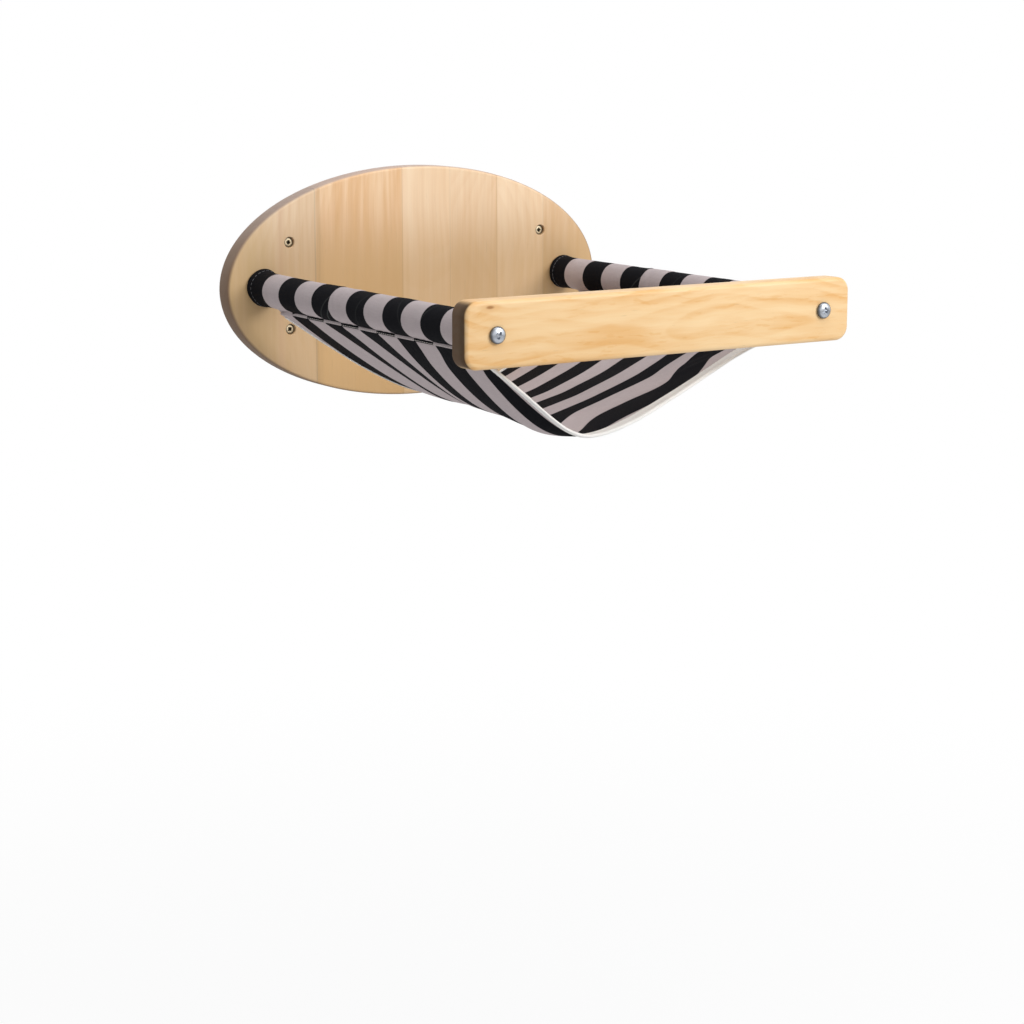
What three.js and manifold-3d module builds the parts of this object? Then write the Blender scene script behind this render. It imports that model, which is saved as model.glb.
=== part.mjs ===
// Wall-mounted cat bed: a striped canvas sling hung between two sleeved dowels,
// which stand out from an oval back board and are tied in front by a flat wooden bar.
//
// Millimetres, +Z up. The origin is the centre of the board's back face, which lies on the wall.
// +X runs along the wall to the right, and the bed stands out towards -Y.

import * as THREE from 'three';
import { mergeVertices } from 'three/addons/utils/BufferGeometryUtils.js';
import Module from 'manifold-3d';

const wasm = await Module();
wasm.setup();

// Driving dimensions

const fitGap = 0.3;
const cutOverrun = 2;

const board = {
  endMargin: 34.5,
  height: 200,
  thickness: 18.5,
  edgeRound: 2.6,
};

const bar = {
  endOverhang: 26.5,
  height: 50,
  thickness: 21,
  cornerRadius: 11,
  edgeRound: 3.4,
};

const dowel = {
  diameter: 25,
  length: 350,
  spacing: 301,
  endChamfer: 1,
};

const bolt = {
  shankDiameter: 6,
  headDiameter: 13,
  headHeight: 3.8,
  headRimHeight: 1.1,
  reachPastInsert: 5,
  tipChamfer: 1,
  sinkWidening: 1,
  sinkDepth: 5.6,
};

const insert = {
  outerDiameter: 10,
  length: 14,
  ridgeDepth: 0.7,
  ridgeCount: 4,
  endSetback: 0.6,
};

const crossRecess = {
  span: 6.2,
  armWidth: 1.5,
  depth: 2,
  coreDiameter: 3.2,
};

const wallScrew = {
  length: 50,
  shankDiameter: 4.2,
  headDiameter: 8.6,
  headRim: 0.5,
  headCone: 2.4,
  tipLength: 7,
  headSunk: 2.2,
  insetFromDowel: 24,
  heightAbove: 39,
  heightBelow: 35,
  recessSpan: 4.4,
  recessArmWidth: 1.1,
  recessDepth: 1.5,
  recessCoreDiameter: 2.2,
};

const sleeve = {
  fabric: 0.85,
  wallGap: 1,
  barGap: 1.2,
  finHeight: 3.4,
  finThickness: 1.8,
};

const seamHem = {
  thickness: 1,
  overlapBelow: 0.5,
};

const sling = {
  thickness: 1.4,
  sag: 80,
  rearInset: 31,
  frontInset: 4.4,
  rearEdgeCurve: 27,
  frontEdgeCurve: 17,
};

const edgeHem = {
  width: 12,
  thickness: 1,
};

// Facet counts

const boardSegments = 36;
const barCornerSegments = 4;
const roundSegments = 3;
const dowelSides = 32;
const boltSides = 20;
const screwSides = 18;
const slingColumns = 28;
const slingRows = 18;

// Places worked out from the driving dimensions

const dowelX = dowel.spacing / 2;
const boardWidth = dowel.spacing + 2 * board.endMargin;
const barLength = dowel.spacing + 2 * bar.endOverhang;
const boardFrontY = -board.thickness;
const dowelRearY = boardFrontY - fitGap;
const dowelFrontY = dowelRearY - dowel.length;
const barRearY = dowelFrontY - fitGap;
const barFrontY = barRearY - bar.thickness;
const sleeveInnerRadius = dowel.diameter / 2 + fitGap;
const sleeveOuterRadius = sleeveInnerRadius + sleeve.fabric;
const finBottomZ = -(sleeveOuterRadius + sleeve.finHeight);
const seamZ = finBottomZ - fitGap - sling.thickness / 2;
const seamRearY = boardFrontY - sling.rearInset;
const slingSeamLength = seamRearY - (barRearY + sling.frontInset);

// Finishes

const finish = (color, roughness, metalness) => ({ color, roughness, metalness });
const palePine = finish('#e9c794', 0.55, 0);
const honeyPine = finish('#f2cb8e', 0.5, 0);
const dowelWood = finish('#e3c08c', 0.6, 0);
const blackStripedCanvas = finish('#8d868c', 0.9, 0);
const paleCanvas = finish('#d8d2d2', 0.9, 0);
const brightZinc = finish('#c3c7cc', 0.3, 0.9);
const yellowZinc = finish('#cdb777', 0.4, 0.8);
const brass = finish('#c2a25a', 0.4, 0.9);

const bed = new THREE.Group();

function addPiece(name, geometry, surface, x = 0, y = 0, z = 0) {
  const mesh = new THREE.Mesh(geometry, new THREE.MeshStandardMaterial(surface));
  mesh.name = name;
  mesh.position.set(x, y, z);
  bed.add(mesh);
  return mesh;
}

// Cutting and joining of closed meshes

function toSolid(geometry) {
  const bare = geometry.clone();
  bare.deleteAttribute('normal');
  bare.deleteAttribute('uv');
  const merged = mergeVertices(bare);
  return new wasm.Manifold(new wasm.Mesh({
    numProp: 3,
    vertProperties: new Float32Array(merged.attributes.position.array),
    triVerts: new Uint32Array(merged.index.array),
  }));
}

function toGeometry(solid) {
  const mesh = solid.getMesh();
  const geometry = new THREE.BufferGeometry();
  geometry.setAttribute('position', new THREE.BufferAttribute(mesh.vertProperties, 3));
  geometry.setIndex(new THREE.BufferAttribute(mesh.triVerts, 1));
  geometry.computeVertexNormals();
  return geometry;
}

function cutAway(geometry, cutters) {
  const cut = cutters.reduce((solid, cutter) => solid.subtract(toSolid(cutter)), toSolid(geometry));
  return toGeometry(cut);
}

// Shapes are drawn in X and Z, and extruded from the wall side towards the front.
function extrudeForward(shape, options) {
  return new THREE.ExtrudeGeometry(shape, options).rotateX(Math.PI / 2);
}

// A revolved solid about the Y axis. The profile is a list of [radius, y], from front to back.
function turned(profile, sides) {
  const points = profile.map(([radius, y]) => new THREE.Vector2(radius, y));
  return new THREE.LatheGeometry(points, sides);
}

// A slab with a rounded edge all round, whose back face lies at y = 0.
function roundedSlab(shape, thickness, round, curveSegments) {
  return extrudeForward(shape, {
    depth: thickness - 2 * round,
    bevelThickness: round,
    bevelSize: round,
    bevelOffset: -round,
    bevelSegments: roundSegments,
    curveSegments,
  }).translate(0, -round, 0);
}

// A cross-shaped driver recess, cut into a head whose face looks along -Y at y = faceY.
function driverRecess(faceY, { span, armWidth, depth, coreDiameter }) {
  const height = depth + cutOverrun;
  const middleY = faceY + depth - height / 2;
  const armX = new THREE.BoxGeometry(span, height, armWidth).translate(0, middleY, 0);
  const armZ = new THREE.BoxGeometry(armWidth, height, span).translate(0, middleY, 0);
  const core = new THREE.CylinderGeometry(0, coreDiameter / 2, depth, boltSides);
  core.translate(0, faceY + depth * 1.5, 0);
  return [armX, armZ, core];
}

// Back board

const screwX = dowelX - wallScrew.insetFromDowel;
const screwPlaces = [
  { name: 'wall_screw_upper_left', x: -screwX, z: wallScrew.heightAbove },
  { name: 'wall_screw_lower_left', x: -screwX, z: -wallScrew.heightBelow },
  { name: 'wall_screw_upper_right', x: screwX, z: wallScrew.heightAbove },
  { name: 'wall_screw_lower_right', x: screwX, z: -wallScrew.heightBelow },
];
const screwHeadY = boardFrontY + wallScrew.headSunk;

// Countersunk hole for a wall screw, a named gap wider than the screw all round.
function screwHole() {
  const headRadius = wallScrew.headDiameter / 2 + fitGap;
  const shankRadius = wallScrew.shankDiameter / 2 + fitGap;
  const coneTopY = screwHeadY + wallScrew.headRim + fitGap;
  return turned([
    [0, boardFrontY - cutOverrun],
    [headRadius, boardFrontY - cutOverrun],
    [headRadius, coneTopY],
    [shankRadius, coneTopY + wallScrew.headCone],
    [shankRadius, cutOverrun],
    [0, cutOverrun],
  ], screwSides);
}

// Bolt hole from the back, with a flat-bottomed sink that hides the head.
function rearBoltHole() {
  const sinkRadius = bolt.headDiameter / 2 + bolt.sinkWidening;
  const shankRadius = bolt.shankDiameter / 2 + fitGap;
  return turned([
    [0, boardFrontY - cutOverrun],
    [shankRadius, boardFrontY - cutOverrun],
    [shankRadius, -bolt.sinkDepth],
    [sinkRadius, -bolt.sinkDepth],
    [sinkRadius, cutOverrun],
    [0, cutOverrun],
  ], boltSides);
}

const boardShape = new THREE.Shape();
boardShape.absellipse(0, 0, boardWidth / 2, board.height / 2, 0, 2 * Math.PI);
const boardCuts = screwPlaces.map(({ x, z }) => screwHole().translate(x, 0, z));
for (const side of [-1, 1]) {
  boardCuts.push(rearBoltHole().translate(side * dowelX, 0, 0));
}
const boardSlab = roundedSlab(boardShape, board.thickness, board.edgeRound, boardSegments);
addPiece('backboard', cutAway(boardSlab, boardCuts), palePine);

// Front bar

function roundedRectangle(width, height, radius) {
  const shape = new THREE.Shape();
  const right = width / 2 - radius;
  const top = height / 2 - radius;
  shape.absarc(right, top, radius, 0, Math.PI / 2);
  shape.absarc(-right, top, radius, Math.PI / 2, Math.PI);
  shape.absarc(-right, -top, radius, Math.PI, 1.5 * Math.PI);
  shape.absarc(right, -top, radius, 1.5 * Math.PI, 2 * Math.PI);
  return shape;
}

const barShape = roundedRectangle(barLength, bar.height, bar.cornerRadius);
const barSlab = roundedSlab(barShape, bar.thickness, bar.edgeRound, barCornerSegments);
const boltHoleRadius = bolt.shankDiameter / 2 + fitGap;
const barHoleLength = bar.thickness + 2 * cutOverrun;
const barHoles = [-1, 1].map((side) => {
  const hole = new THREE.CylinderGeometry(boltHoleRadius, boltHoleRadius, barHoleLength, boltSides);
  return hole.translate(side * dowelX, -bar.thickness / 2, 0);
});
addPiece('front_bar', cutAway(barSlab, barHoles), honeyPine, 0, barRearY, 0);

// Dowels, bored at both ends for the threaded inserts

const insertBoreRadius = insert.outerDiameter / 2 + fitGap;
const boreDepth = insert.endSetback + insert.length + bolt.reachPastInsert + 2 * fitGap;

// The bore starts at an end face at y = 0 and runs into the wood towards +Y.
function insertBore() {
  const tipRadius = bolt.shankDiameter / 2 + fitGap;
  const seatY = insert.endSetback + insert.length + fitGap;
  return turned([
    [0, -cutOverrun],
    [insertBoreRadius, -cutOverrun],
    [insertBoreRadius, seatY],
    [tipRadius, seatY],
    [tipRadius, boreDepth],
    [0, boreDepth + tipRadius],
  ], boltSides);
}

function dowelBlank() {
  const radius = dowel.diameter / 2;
  const half = dowel.length / 2;
  return turned([
    [0, -half],
    [radius - dowel.endChamfer, -half],
    [radius, -half + dowel.endChamfer],
    [radius, half - dowel.endChamfer],
    [radius - dowel.endChamfer, half],
    [0, half],
  ], dowelSides);
}

const dowelBores = [
  insertBore().translate(0, -dowel.length / 2, 0),
  insertBore().rotateZ(Math.PI).translate(0, dowel.length / 2, 0),
];
const dowelGeometry = cutAway(dowelBlank(), dowelBores);
const dowelMiddleY = (dowelRearY + dowelFrontY) / 2;
addPiece('dowel_left', dowelGeometry, dowelWood, -dowelX, dowelMiddleY, 0);
addPiece('dowel_right', dowelGeometry, dowelWood, dowelX, dowelMiddleY, 0);

// Threaded inserts: ribbed metal bushes sunk in the dowel ends

function insertBush() {
  const outer = insert.outerDiameter / 2;
  const inner = bolt.shankDiameter / 2 + fitGap;
  const pitch = insert.length / insert.ridgeCount;
  const profile = [[inner, 0], [outer - insert.ridgeDepth, 0]];
  for (let ridge = 0; ridge < insert.ridgeCount; ridge += 1) {
    profile.push([outer, (ridge + 0.5) * pitch]);
    profile.push([outer - insert.ridgeDepth, (ridge + 1) * pitch]);
  }
  profile.push([inner, insert.length], [inner, 0]);
  return turned(profile, boltSides);
}

const insertFrontY = dowelFrontY + insert.endSetback;
const insertRearY = dowelRearY - insert.endSetback - insert.length;
addPiece('insert_front_left', insertBush(), brass, -dowelX, insertFrontY, 0);
addPiece('insert_front_right', insertBush(), brass, dowelX, insertFrontY, 0);
addPiece('insert_rear_left', insertBush(), brass, -dowelX, insertRearY, 0);
addPiece('insert_rear_right', insertBush(), brass, dowelX, insertRearY, 0);

// Domed bolts. The head's flat underside is at y = 0 and the shank runs towards +Y.

function domedBolt(shankLength) {
  const headRadius = bolt.headDiameter / 2;
  const shankRadius = bolt.shankDiameter / 2;
  const domeRise = bolt.headHeight - bolt.headRimHeight;
  const domeSteps = 4;
  const profile = [];
  for (let step = 0; step <= domeSteps; step += 1) {
    const turn = (step / domeSteps) * (Math.PI / 2);
    profile.push([headRadius * Math.sin(turn), -bolt.headRimHeight - domeRise * Math.cos(turn)]);
  }
  profile.push(
    [headRadius, 0],
    [shankRadius, 0],
    [shankRadius, shankLength - bolt.tipChamfer],
    [shankRadius - bolt.tipChamfer, shankLength],
    [0, shankLength],
  );
  return cutAway(turned(profile, boltSides), driverRecess(-bolt.headHeight, crossRecess));
}

const insertReach = insert.endSetback + insert.length + bolt.reachPastInsert;
const frontBolt = domedBolt(2 * fitGap + bar.thickness + insertReach);
const frontHeadY = barFrontY - fitGap;
addPiece('front_bolt_left', frontBolt, brightZinc, -dowelX, frontHeadY, 0);
addPiece('front_bolt_right', frontBolt, brightZinc, dowelX, frontHeadY, 0);

const boardUnderHead = board.thickness - bolt.sinkDepth;
const rearBolt = domedBolt(2 * fitGap + boardUnderHead + insertReach).rotateZ(Math.PI);
const rearHeadY = -bolt.sinkDepth + fitGap;
addPiece('rear_bolt_left', rearBolt, brightZinc, -dowelX, rearHeadY, 0);
addPiece('rear_bolt_right', rearBolt, brightZinc, dowelX, rearHeadY, 0);

// Wall screws: flat countersunk heads sunk below the board's face, points past its back

function countersunkScrew() {
  const headRadius = wallScrew.headDiameter / 2;
  const shankRadius = wallScrew.shankDiameter / 2;
  const coneEnd = wallScrew.headRim + wallScrew.headCone;
  const screw = turned([
    [0, 0],
    [headRadius, 0],
    [headRadius, wallScrew.headRim],
    [shankRadius, coneEnd],
    [shankRadius, wallScrew.length - wallScrew.tipLength],
    [0, wallScrew.length],
  ], screwSides);
  return cutAway(screw, driverRecess(0, {
    span: wallScrew.recessSpan,
    armWidth: wallScrew.recessArmWidth,
    depth: wallScrew.recessDepth,
    coreDiameter: wallScrew.recessCoreDiameter,
  }));
}

const screwGeometry = countersunkScrew();
for (const { name, x, z } of screwPlaces) {
  addPiece(name, screwGeometry, yellowZinc, x, screwHeadY, z);
}

// Canvas sleeves: a tube round each dowel, pinched into a sewn fin along the sling's seam

const sleeveRearY = boardFrontY - sleeve.wallGap;
const sleeveLength = sleeveRearY - (barRearY + sleeve.barGap);

function sleeveTube() {
  const ring = new THREE.Shape();
  ring.absarc(0, 0, sleeveOuterRadius, 0, 2 * Math.PI);
  const bore = new THREE.Path();
  bore.absarc(0, 0, sleeveInnerRadius, 0, 2 * Math.PI, true);
  ring.holes.push(bore);
  const tube = extrudeForward(ring, {
    depth: sleeveLength,
    bevelEnabled: false,
    curveSegments: dowelSides / 2,
  });
  const finTopZ = -(sleeveInnerRadius + sleeve.fabric / 2);
  const finLength = slingSeamLength;
  const fin = new THREE.BoxGeometry(sleeve.finThickness, finLength, finTopZ - finBottomZ);
  fin.translate(0, seamRearY - sleeveRearY - finLength / 2, (finTopZ + finBottomZ) / 2);
  return toGeometry(toSolid(tube).add(toSolid(fin)));
}

addPiece('sleeve_left', sleeveTube(), blackStripedCanvas, -dowelX, sleeveRearY, 0);
addPiece('sleeve_right', sleeveTube(), blackStripedCanvas, dowelX, sleeveRearY, 0);

// The sling's cloth. Places along the bed are measured from the board's face to the bar's back.

const bedLength = boardFrontY - barRearY;

// Section of the hanging cloth at places along the bed, as the resting weight has left it:
// how far out it is, where its lowest line lies as a share of the half span, how deep it hangs
// as a share of the sag, and how round it is on its left and right half.
const sectionShares = [
  { along: 0.09, lowest: 0.02, depth: 0.92, roundLeft: 0.79, roundRight: 0.41 },
  { along: 0.16, lowest: -0.034, depth: 0.913, roundLeft: 0.69, roundRight: 0.42 },
  { along: 0.23, lowest: -0.1, depth: 0.911, roundLeft: 0.45, roundRight: 0.4 },
  { along: 0.314, lowest: -0.178, depth: 0.906, roundLeft: 0.185, roundRight: 0.34 },
  { along: 0.392, lowest: -0.221, depth: 0.875, roundLeft: 0.32, roundRight: 0.35 },
  { along: 0.477, lowest: -0.257, depth: 0.857, roundLeft: 0.21, roundRight: 0.33 },
  { along: 0.56, lowest: -0.303, depth: 0.838, roundLeft: 0.37, roundRight: 0.3 },
  { along: 0.64, lowest: -0.337, depth: 0.813, roundLeft: 0.96, roundRight: 0.28 },
  { along: 0.71, lowest: -0.368, depth: 0.804, roundLeft: 1.74, roundRight: 0.26 },
  { along: 0.79, lowest: -0.388, depth: 0.807, roundLeft: 1.66, roundRight: 0.22 },
  { along: 0.865, lowest: -0.42, depth: 0.843, roundLeft: 0.67, roundRight: 0.19 },
  { along: 0.93, lowest: -0.432, depth: 0.855, roundLeft: 0.9, roundRight: 0.165 },
  { along: 1.0, lowest: -0.355, depth: 0.837, roundLeft: 0.105, roundRight: 0.165 },
];
const sectionValues = ['lowest', 'depth', 'roundLeft', 'roundRight'];
const sectionCurve = new THREE.CubicInterpolant(
  sectionShares.map((section) => section.along),
  sectionShares.flatMap((section) => sectionValues.map((value) => section[value])),
  sectionValues.length,
);

// A hanging line from 0 at its lowest point to 1 at its end: straight when round is 0,
// and closer to a parabola the larger round is.
function hang(share, round) {
  return (Math.hypot(share, round) - round) / (Math.hypot(1, round) - round);
}

// The middle of the cloth's thickness at a place across and along the bed.
function slingPoint(x, along) {
  const [lowest, depth, roundLeft, roundRight] = sectionCurve.evaluate(along / bedLength);
  const lowestX = lowest * dowelX;
  const isLeft = x < lowestX;
  const reach = isLeft ? -dowelX - lowestX : dowelX - lowestX;
  const rise = hang((x - lowestX) / reach, isLeft ? roundLeft : roundRight);
  const z = seamZ - sling.sag * depth * (1 - rise);
  return new THREE.Vector3(x, boardFrontY - along, z);
}

// The sling's two free edges. The rear one bows evenly towards the middle of the bed, and the
// front one draws back behind the bar as shares of its curve, most of all on its right.
const frontEdgeShares = [
  { across: -1, setback: 0 },
  { across: -0.8, setback: -0.14 },
  { across: -0.5, setback: -0.1 },
  { across: -0.25, setback: -0.16 },
  { across: 0, setback: 0.02 },
  { across: 0.33, setback: 0.51 },
  { across: 0.66, setback: 0.98 },
  { across: 0.82, setback: 0.88 },
  { across: 1, setback: 0 },
];
const frontEdgeCurve = new THREE.CubicInterpolant(
  frontEdgeShares.map((place) => place.across),
  frontEdgeShares.map((place) => place.setback),
  1,
);

function rearEdge(x) {
  return sling.rearInset + sling.rearEdgeCurve * (1 - (x / dowelX) ** 2);
}

function frontEdge(x) {
  const [setback] = frontEdgeCurve.evaluate(x / dowelX);
  return bedLength - sling.frontInset - sling.frontEdgeCurve * setback;
}

const probe = dowel.spacing / slingColumns / slingRows;

// Unit vector square to the cloth, on its upper side.
function slingNormal(x, along) {
  const inside = Math.min(Math.max(x, probe - dowelX), dowelX - probe);
  const across = slingPoint(inside + probe, along).sub(slingPoint(inside - probe, along));
  const forward = slingPoint(x, along + probe).sub(slingPoint(x, along - probe));
  return forward.cross(across).normalize();
}

// A closed solid between rings of equal point count, its two end rings capped flat. Each quad
// between two rings is split from the later ring's first corner, or else along its other diagonal.
function loft(rings, isOtherDiagonal = false) {
  const count = rings[0].length;
  const positions = rings.flat().flatMap((point) => point.toArray());
  const index = [];
  for (let ring = 0; ring + 1 < rings.length; ring += 1) {
    for (let corner = 0; corner < count; corner += 1) {
      const next = (corner + 1) % count;
      const a = ring * count + corner;
      const b = ring * count + next;
      if (isOtherDiagonal) {
        index.push(a, b, b + count, a, b + count, a + count);
      } else {
        index.push(a, b, a + count, b, b + count, a + count);
      }
    }
  }
  const last = (rings.length - 1) * count;
  for (const [a, b, c] of capTriangles(rings[0])) {
    index.push(a, c, b);
  }
  for (const [a, b, c] of capTriangles(rings[rings.length - 1])) {
    index.push(last + a, last + b, last + c);
  }
  const geometry = new THREE.BufferGeometry();
  geometry.setAttribute('position', new THREE.Float32BufferAttribute(positions, 3));
  geometry.setIndex(index);
  geometry.computeVertexNormals();
  return geometry;
}

// Triangles over a closed ring whose points run counter-clockwise seen from ahead of the loft.
function capTriangles(ring) {
  const centre = ring.reduce((sum, point) => sum.add(point), new THREE.Vector3());
  centre.divideScalar(ring.length);
  const normal = new THREE.Vector3();
  ring.forEach((point, i) => {
    const next = ring[(i + 1) % ring.length];
    normal.add(point.clone().sub(centre).cross(next.clone().sub(centre)));
  });
  normal.normalize();
  const u = ring[1].clone().sub(ring[0]).normalize();
  const v = normal.clone().cross(u);
  const flat = ring.map((point) => new THREE.Vector2(point.dot(u), point.dot(v)));
  return THREE.ShapeUtils.triangulateShape(flat, []);
}

// Places across the sling, from its left seam to its right one.
const columnsX = Array.from(
  { length: slingColumns + 1 },
  (_, column) => dowel.spacing * (column / slingColumns) - dowelX,
);

// Rows along the sling: its two edges, the inner lines of its hems, and even rows between them.
function rowPlace(x, row) {
  if (row === 0) {
    return rearEdge(x);
  }
  if (row === slingRows) {
    return frontEdge(x);
  }
  const share = (row - 1) / (slingRows - 2);
  return THREE.MathUtils.lerp(rearEdge(x) + edgeHem.width, frontEdge(x) - edgeHem.width, share);
}

// One ring of the sling runs out along the upper side of the cloth and back along the lower.
function slingRing(x) {
  const upper = [];
  const lower = [];
  for (let row = 0; row <= slingRows; row += 1) {
    const along = rowPlace(x, row);
    const normal = slingNormal(x, along).multiplyScalar(sling.thickness / 2);
    upper.push(slingPoint(x, along).add(normal));
    lower.push(slingPoint(x, along).sub(normal));
  }
  return [...upper, ...lower.reverse()];
}

addPiece('sling_panel', loft(columnsX.map(slingRing)), blackStripedCanvas);

// Turned hems along the sling's free edges: a band under the cloth and a lip over its edge,
// whose quads are split the way that the cloth's lower side is

function edgeHemRing(x, edge, inward) {
  const edgeAlong = edge(x);
  const slant = Math.hypot(1, (edge(x + probe) - edge(x - probe)) / (2 * probe));
  const gapAlong = edgeAlong - inward * fitGap * slant;
  const lipAlong = gapAlong - inward * edgeHem.thickness;
  const bandAlong = edgeAlong + inward * edgeHem.width;
  const bandTop = -(sling.thickness / 2 + fitGap);
  const bandBottom = bandTop - edgeHem.thickness;
  const lipTop = sling.thickness / 2;
  const place = (along, height) => {
    const held = THREE.MathUtils.clamp(along, rearEdge(x), frontEdge(x));
    const point = slingPoint(x, held).addScaledVector(slingNormal(x, held), height);
    point.y -= along - held;
    return point;
  };
  return [
    place(lipAlong, lipTop),
    place(gapAlong, lipTop),
    place(gapAlong, bandTop),
    place(bandAlong, bandTop),
    place(bandAlong, bandBottom),
    place(lipAlong, bandBottom),
  ];
}

const rearHemRings = columnsX.map((x) => edgeHemRing(x, rearEdge, 1));
const frontHemRings = columnsX.map((x) => edgeHemRing(x, frontEdge, -1).reverse());
addPiece('edge_hem_rear', loft(rearHemRings, true), paleCanvas);
addPiece('edge_hem_front', loft(frontHemRings, true), paleCanvas);

// Sewn strips where the sling is stitched to the outer side of each sleeve's fin

function seamStrip(side) {
  const top = -Math.sqrt(sleeveOuterRadius ** 2 - (sleeve.finThickness / 2) ** 2) - fitGap;
  const bottom = finBottomZ - seamHem.overlapBelow;
  const near = sleeve.finThickness / 2 + fitGap;
  const far = near + seamHem.thickness;
  const shape = new THREE.Shape();
  shape.moveTo(side * near, top);
  shape.lineTo(side * near, bottom);
  shape.lineTo(side * far, bottom);
  shape.lineTo(side * far, top);
  shape.closePath();
  return extrudeForward(shape, { depth: slingSeamLength, bevelEnabled: false });
}

addPiece('seam_hem_left', seamStrip(-1), paleCanvas, -dowelX, seamRearY, 0);
addPiece('seam_hem_right', seamStrip(1), paleCanvas, dowelX, seamRearY, 0);

export default bed;
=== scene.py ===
"""Shapes and finishes a wall-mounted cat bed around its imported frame: pine, canvas, thread and zinc."""

import math

import bmesh
import bpy
from bpy.props import FloatProperty, FloatVectorProperty, IntProperty, PointerProperty
from mathutils import Matrix, Vector, noise


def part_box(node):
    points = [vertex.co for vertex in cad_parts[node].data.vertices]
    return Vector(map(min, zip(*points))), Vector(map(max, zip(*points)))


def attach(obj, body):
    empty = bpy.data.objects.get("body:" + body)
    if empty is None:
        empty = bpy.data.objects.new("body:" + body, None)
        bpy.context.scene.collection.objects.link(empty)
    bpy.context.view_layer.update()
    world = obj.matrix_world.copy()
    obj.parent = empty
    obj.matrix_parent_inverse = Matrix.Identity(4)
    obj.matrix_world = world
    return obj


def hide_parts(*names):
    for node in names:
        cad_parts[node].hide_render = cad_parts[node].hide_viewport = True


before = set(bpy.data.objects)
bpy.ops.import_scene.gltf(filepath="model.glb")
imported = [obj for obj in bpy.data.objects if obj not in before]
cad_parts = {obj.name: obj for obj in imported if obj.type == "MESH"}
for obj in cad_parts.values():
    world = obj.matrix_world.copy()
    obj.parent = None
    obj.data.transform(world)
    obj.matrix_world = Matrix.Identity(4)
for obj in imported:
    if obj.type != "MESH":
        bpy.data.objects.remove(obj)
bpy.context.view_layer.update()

bl_info = {
    "name": "Wall Cat Bed",
    "version": (1, 0, 0),
    "blender": (4, 5, 0),
    "location": "3D View > Sidebar > Cat Bed",
    "description": "Shapes and finishes the wood, canvas, thread and metal of a wall-mounted cat bed",
    "category": "Object",
}

MM = 0.001

# Places taken from the frame. The bed stands out from the board towards -Y.

BOARD_LOW, BOARD_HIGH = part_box("backboard")
BAR_LOW, BAR_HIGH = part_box("front_bar")
DOWEL_LOW, DOWEL_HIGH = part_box("dowel_right")
SLEEVE_LOW, SLEEVE_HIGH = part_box("sleeve_right")
STRIP_LOW, STRIP_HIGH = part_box("seam_hem_right")
BOARD_FACE_Y = BOARD_LOW.y
BED_LENGTH = BOARD_FACE_Y - BAR_HIGH.y
DOWEL_X = (DOWEL_LOW.x + DOWEL_HIGH.x) / 2
SLEEVE_RADIUS = SLEEVE_HIGH.z
SEAM_Z = SLEEVE_LOW.z - 1 * MM
SIDES = ((-1, "left"), (1, "right"))
WALL_SCREWS = (
    "wall_screw_upper_left", "wall_screw_lower_left",
    "wall_screw_upper_right", "wall_screw_lower_right",
)

# Sizes of the fasteners, their holes and the cutters, which the frame's boxes don't tell.
FIT_GAP = 0.3 * MM
BOLT_SHANK_RADIUS = 3 * MM
BOLT_HOLE_RADIUS = BOLT_SHANK_RADIUS + FIT_GAP
BOLT_HEAD_HEIGHT = 3.8 * MM
BOLT_HEAD_RIM = 1.0 * MM
BOLT_SINK_RADIUS = 7.5 * MM
BOLT_SINK_DEPTH = 5.6 * MM
SCREW_SHANK_RADIUS = 2.1 * MM
SCREW_CORE_RADIUS = 1.45 * MM
SCREW_HEAD_RIM = 0.5 * MM
SCREW_HEAD_CONE = 2.4 * MM
SCREW_TIP_LENGTH = 7 * MM
SCREW_THREAD_START = 14 * MM
SCREW_THREAD_PITCH = 2.2 * MM
CUT_OVERRUN = 1 * MM


# Settings that a user would change


class BedWoodSettings(bpy.types.PropertyGroup):
    """Colours and grain of the board, the bar and the dowels."""

    board_colour: FloatVectorProperty(
        name="Board", description="Pale wood of the back board, between its growth rings",
        subtype="COLOR", default=(0.87, 0.665, 0.45), min=0, max=1)
    board_ring_colour: FloatVectorProperty(
        name="Board rings", description="Late wood and heartwood of the back board",
        subtype="COLOR", default=(0.70, 0.42, 0.20), min=0, max=1)
    bar_colour: FloatVectorProperty(
        name="Bar", description="Honey-coloured wood of the front bar",
        subtype="COLOR", default=(0.865, 0.63, 0.355), min=0, max=1)
    bar_ring_colour: FloatVectorProperty(
        name="Bar rings", description="Late wood of the front bar",
        subtype="COLOR", default=(0.74, 0.41, 0.145), min=0, max=1)
    # Painted shade: this edge colour is darker than the end grain's own, to stand for the shade on the
    # board's rim and the bar's ends.
    end_grain_and_shade_colour: FloatVectorProperty(
        name="Edges", description="End grain round the board's rim and at the bar's ends",
        subtype="COLOR", default=(0.175, 0.10, 0.066), min=0, max=1)
    dowel_colour: FloatVectorProperty(
        name="Dowels", description="Sanded wood of the two dowels",
        subtype="COLOR", default=(0.78, 0.56, 0.34), min=0, max=1)
    ring_pitch: FloatProperty(
        name="Ring pitch", description="Distance from one growth ring to the next",
        unit="LENGTH", default=4.2 * MM, min=1 * MM)
    board_edge_round: FloatProperty(
        name="Board edge", description="Radius of the board's sanded edges",
        unit="LENGTH", default=2.6 * MM, min=0.2 * MM)
    bar_corner_radius: FloatProperty(
        name="Bar corners", description="Radius of the bar's four corners seen from the front",
        unit="LENGTH", default=11 * MM, min=1 * MM)
    bar_edge_round: FloatProperty(
        name="Bar edge", description="Radius of the bar's sanded edges",
        unit="LENGTH", default=3.4 * MM, min=0.2 * MM)


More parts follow.
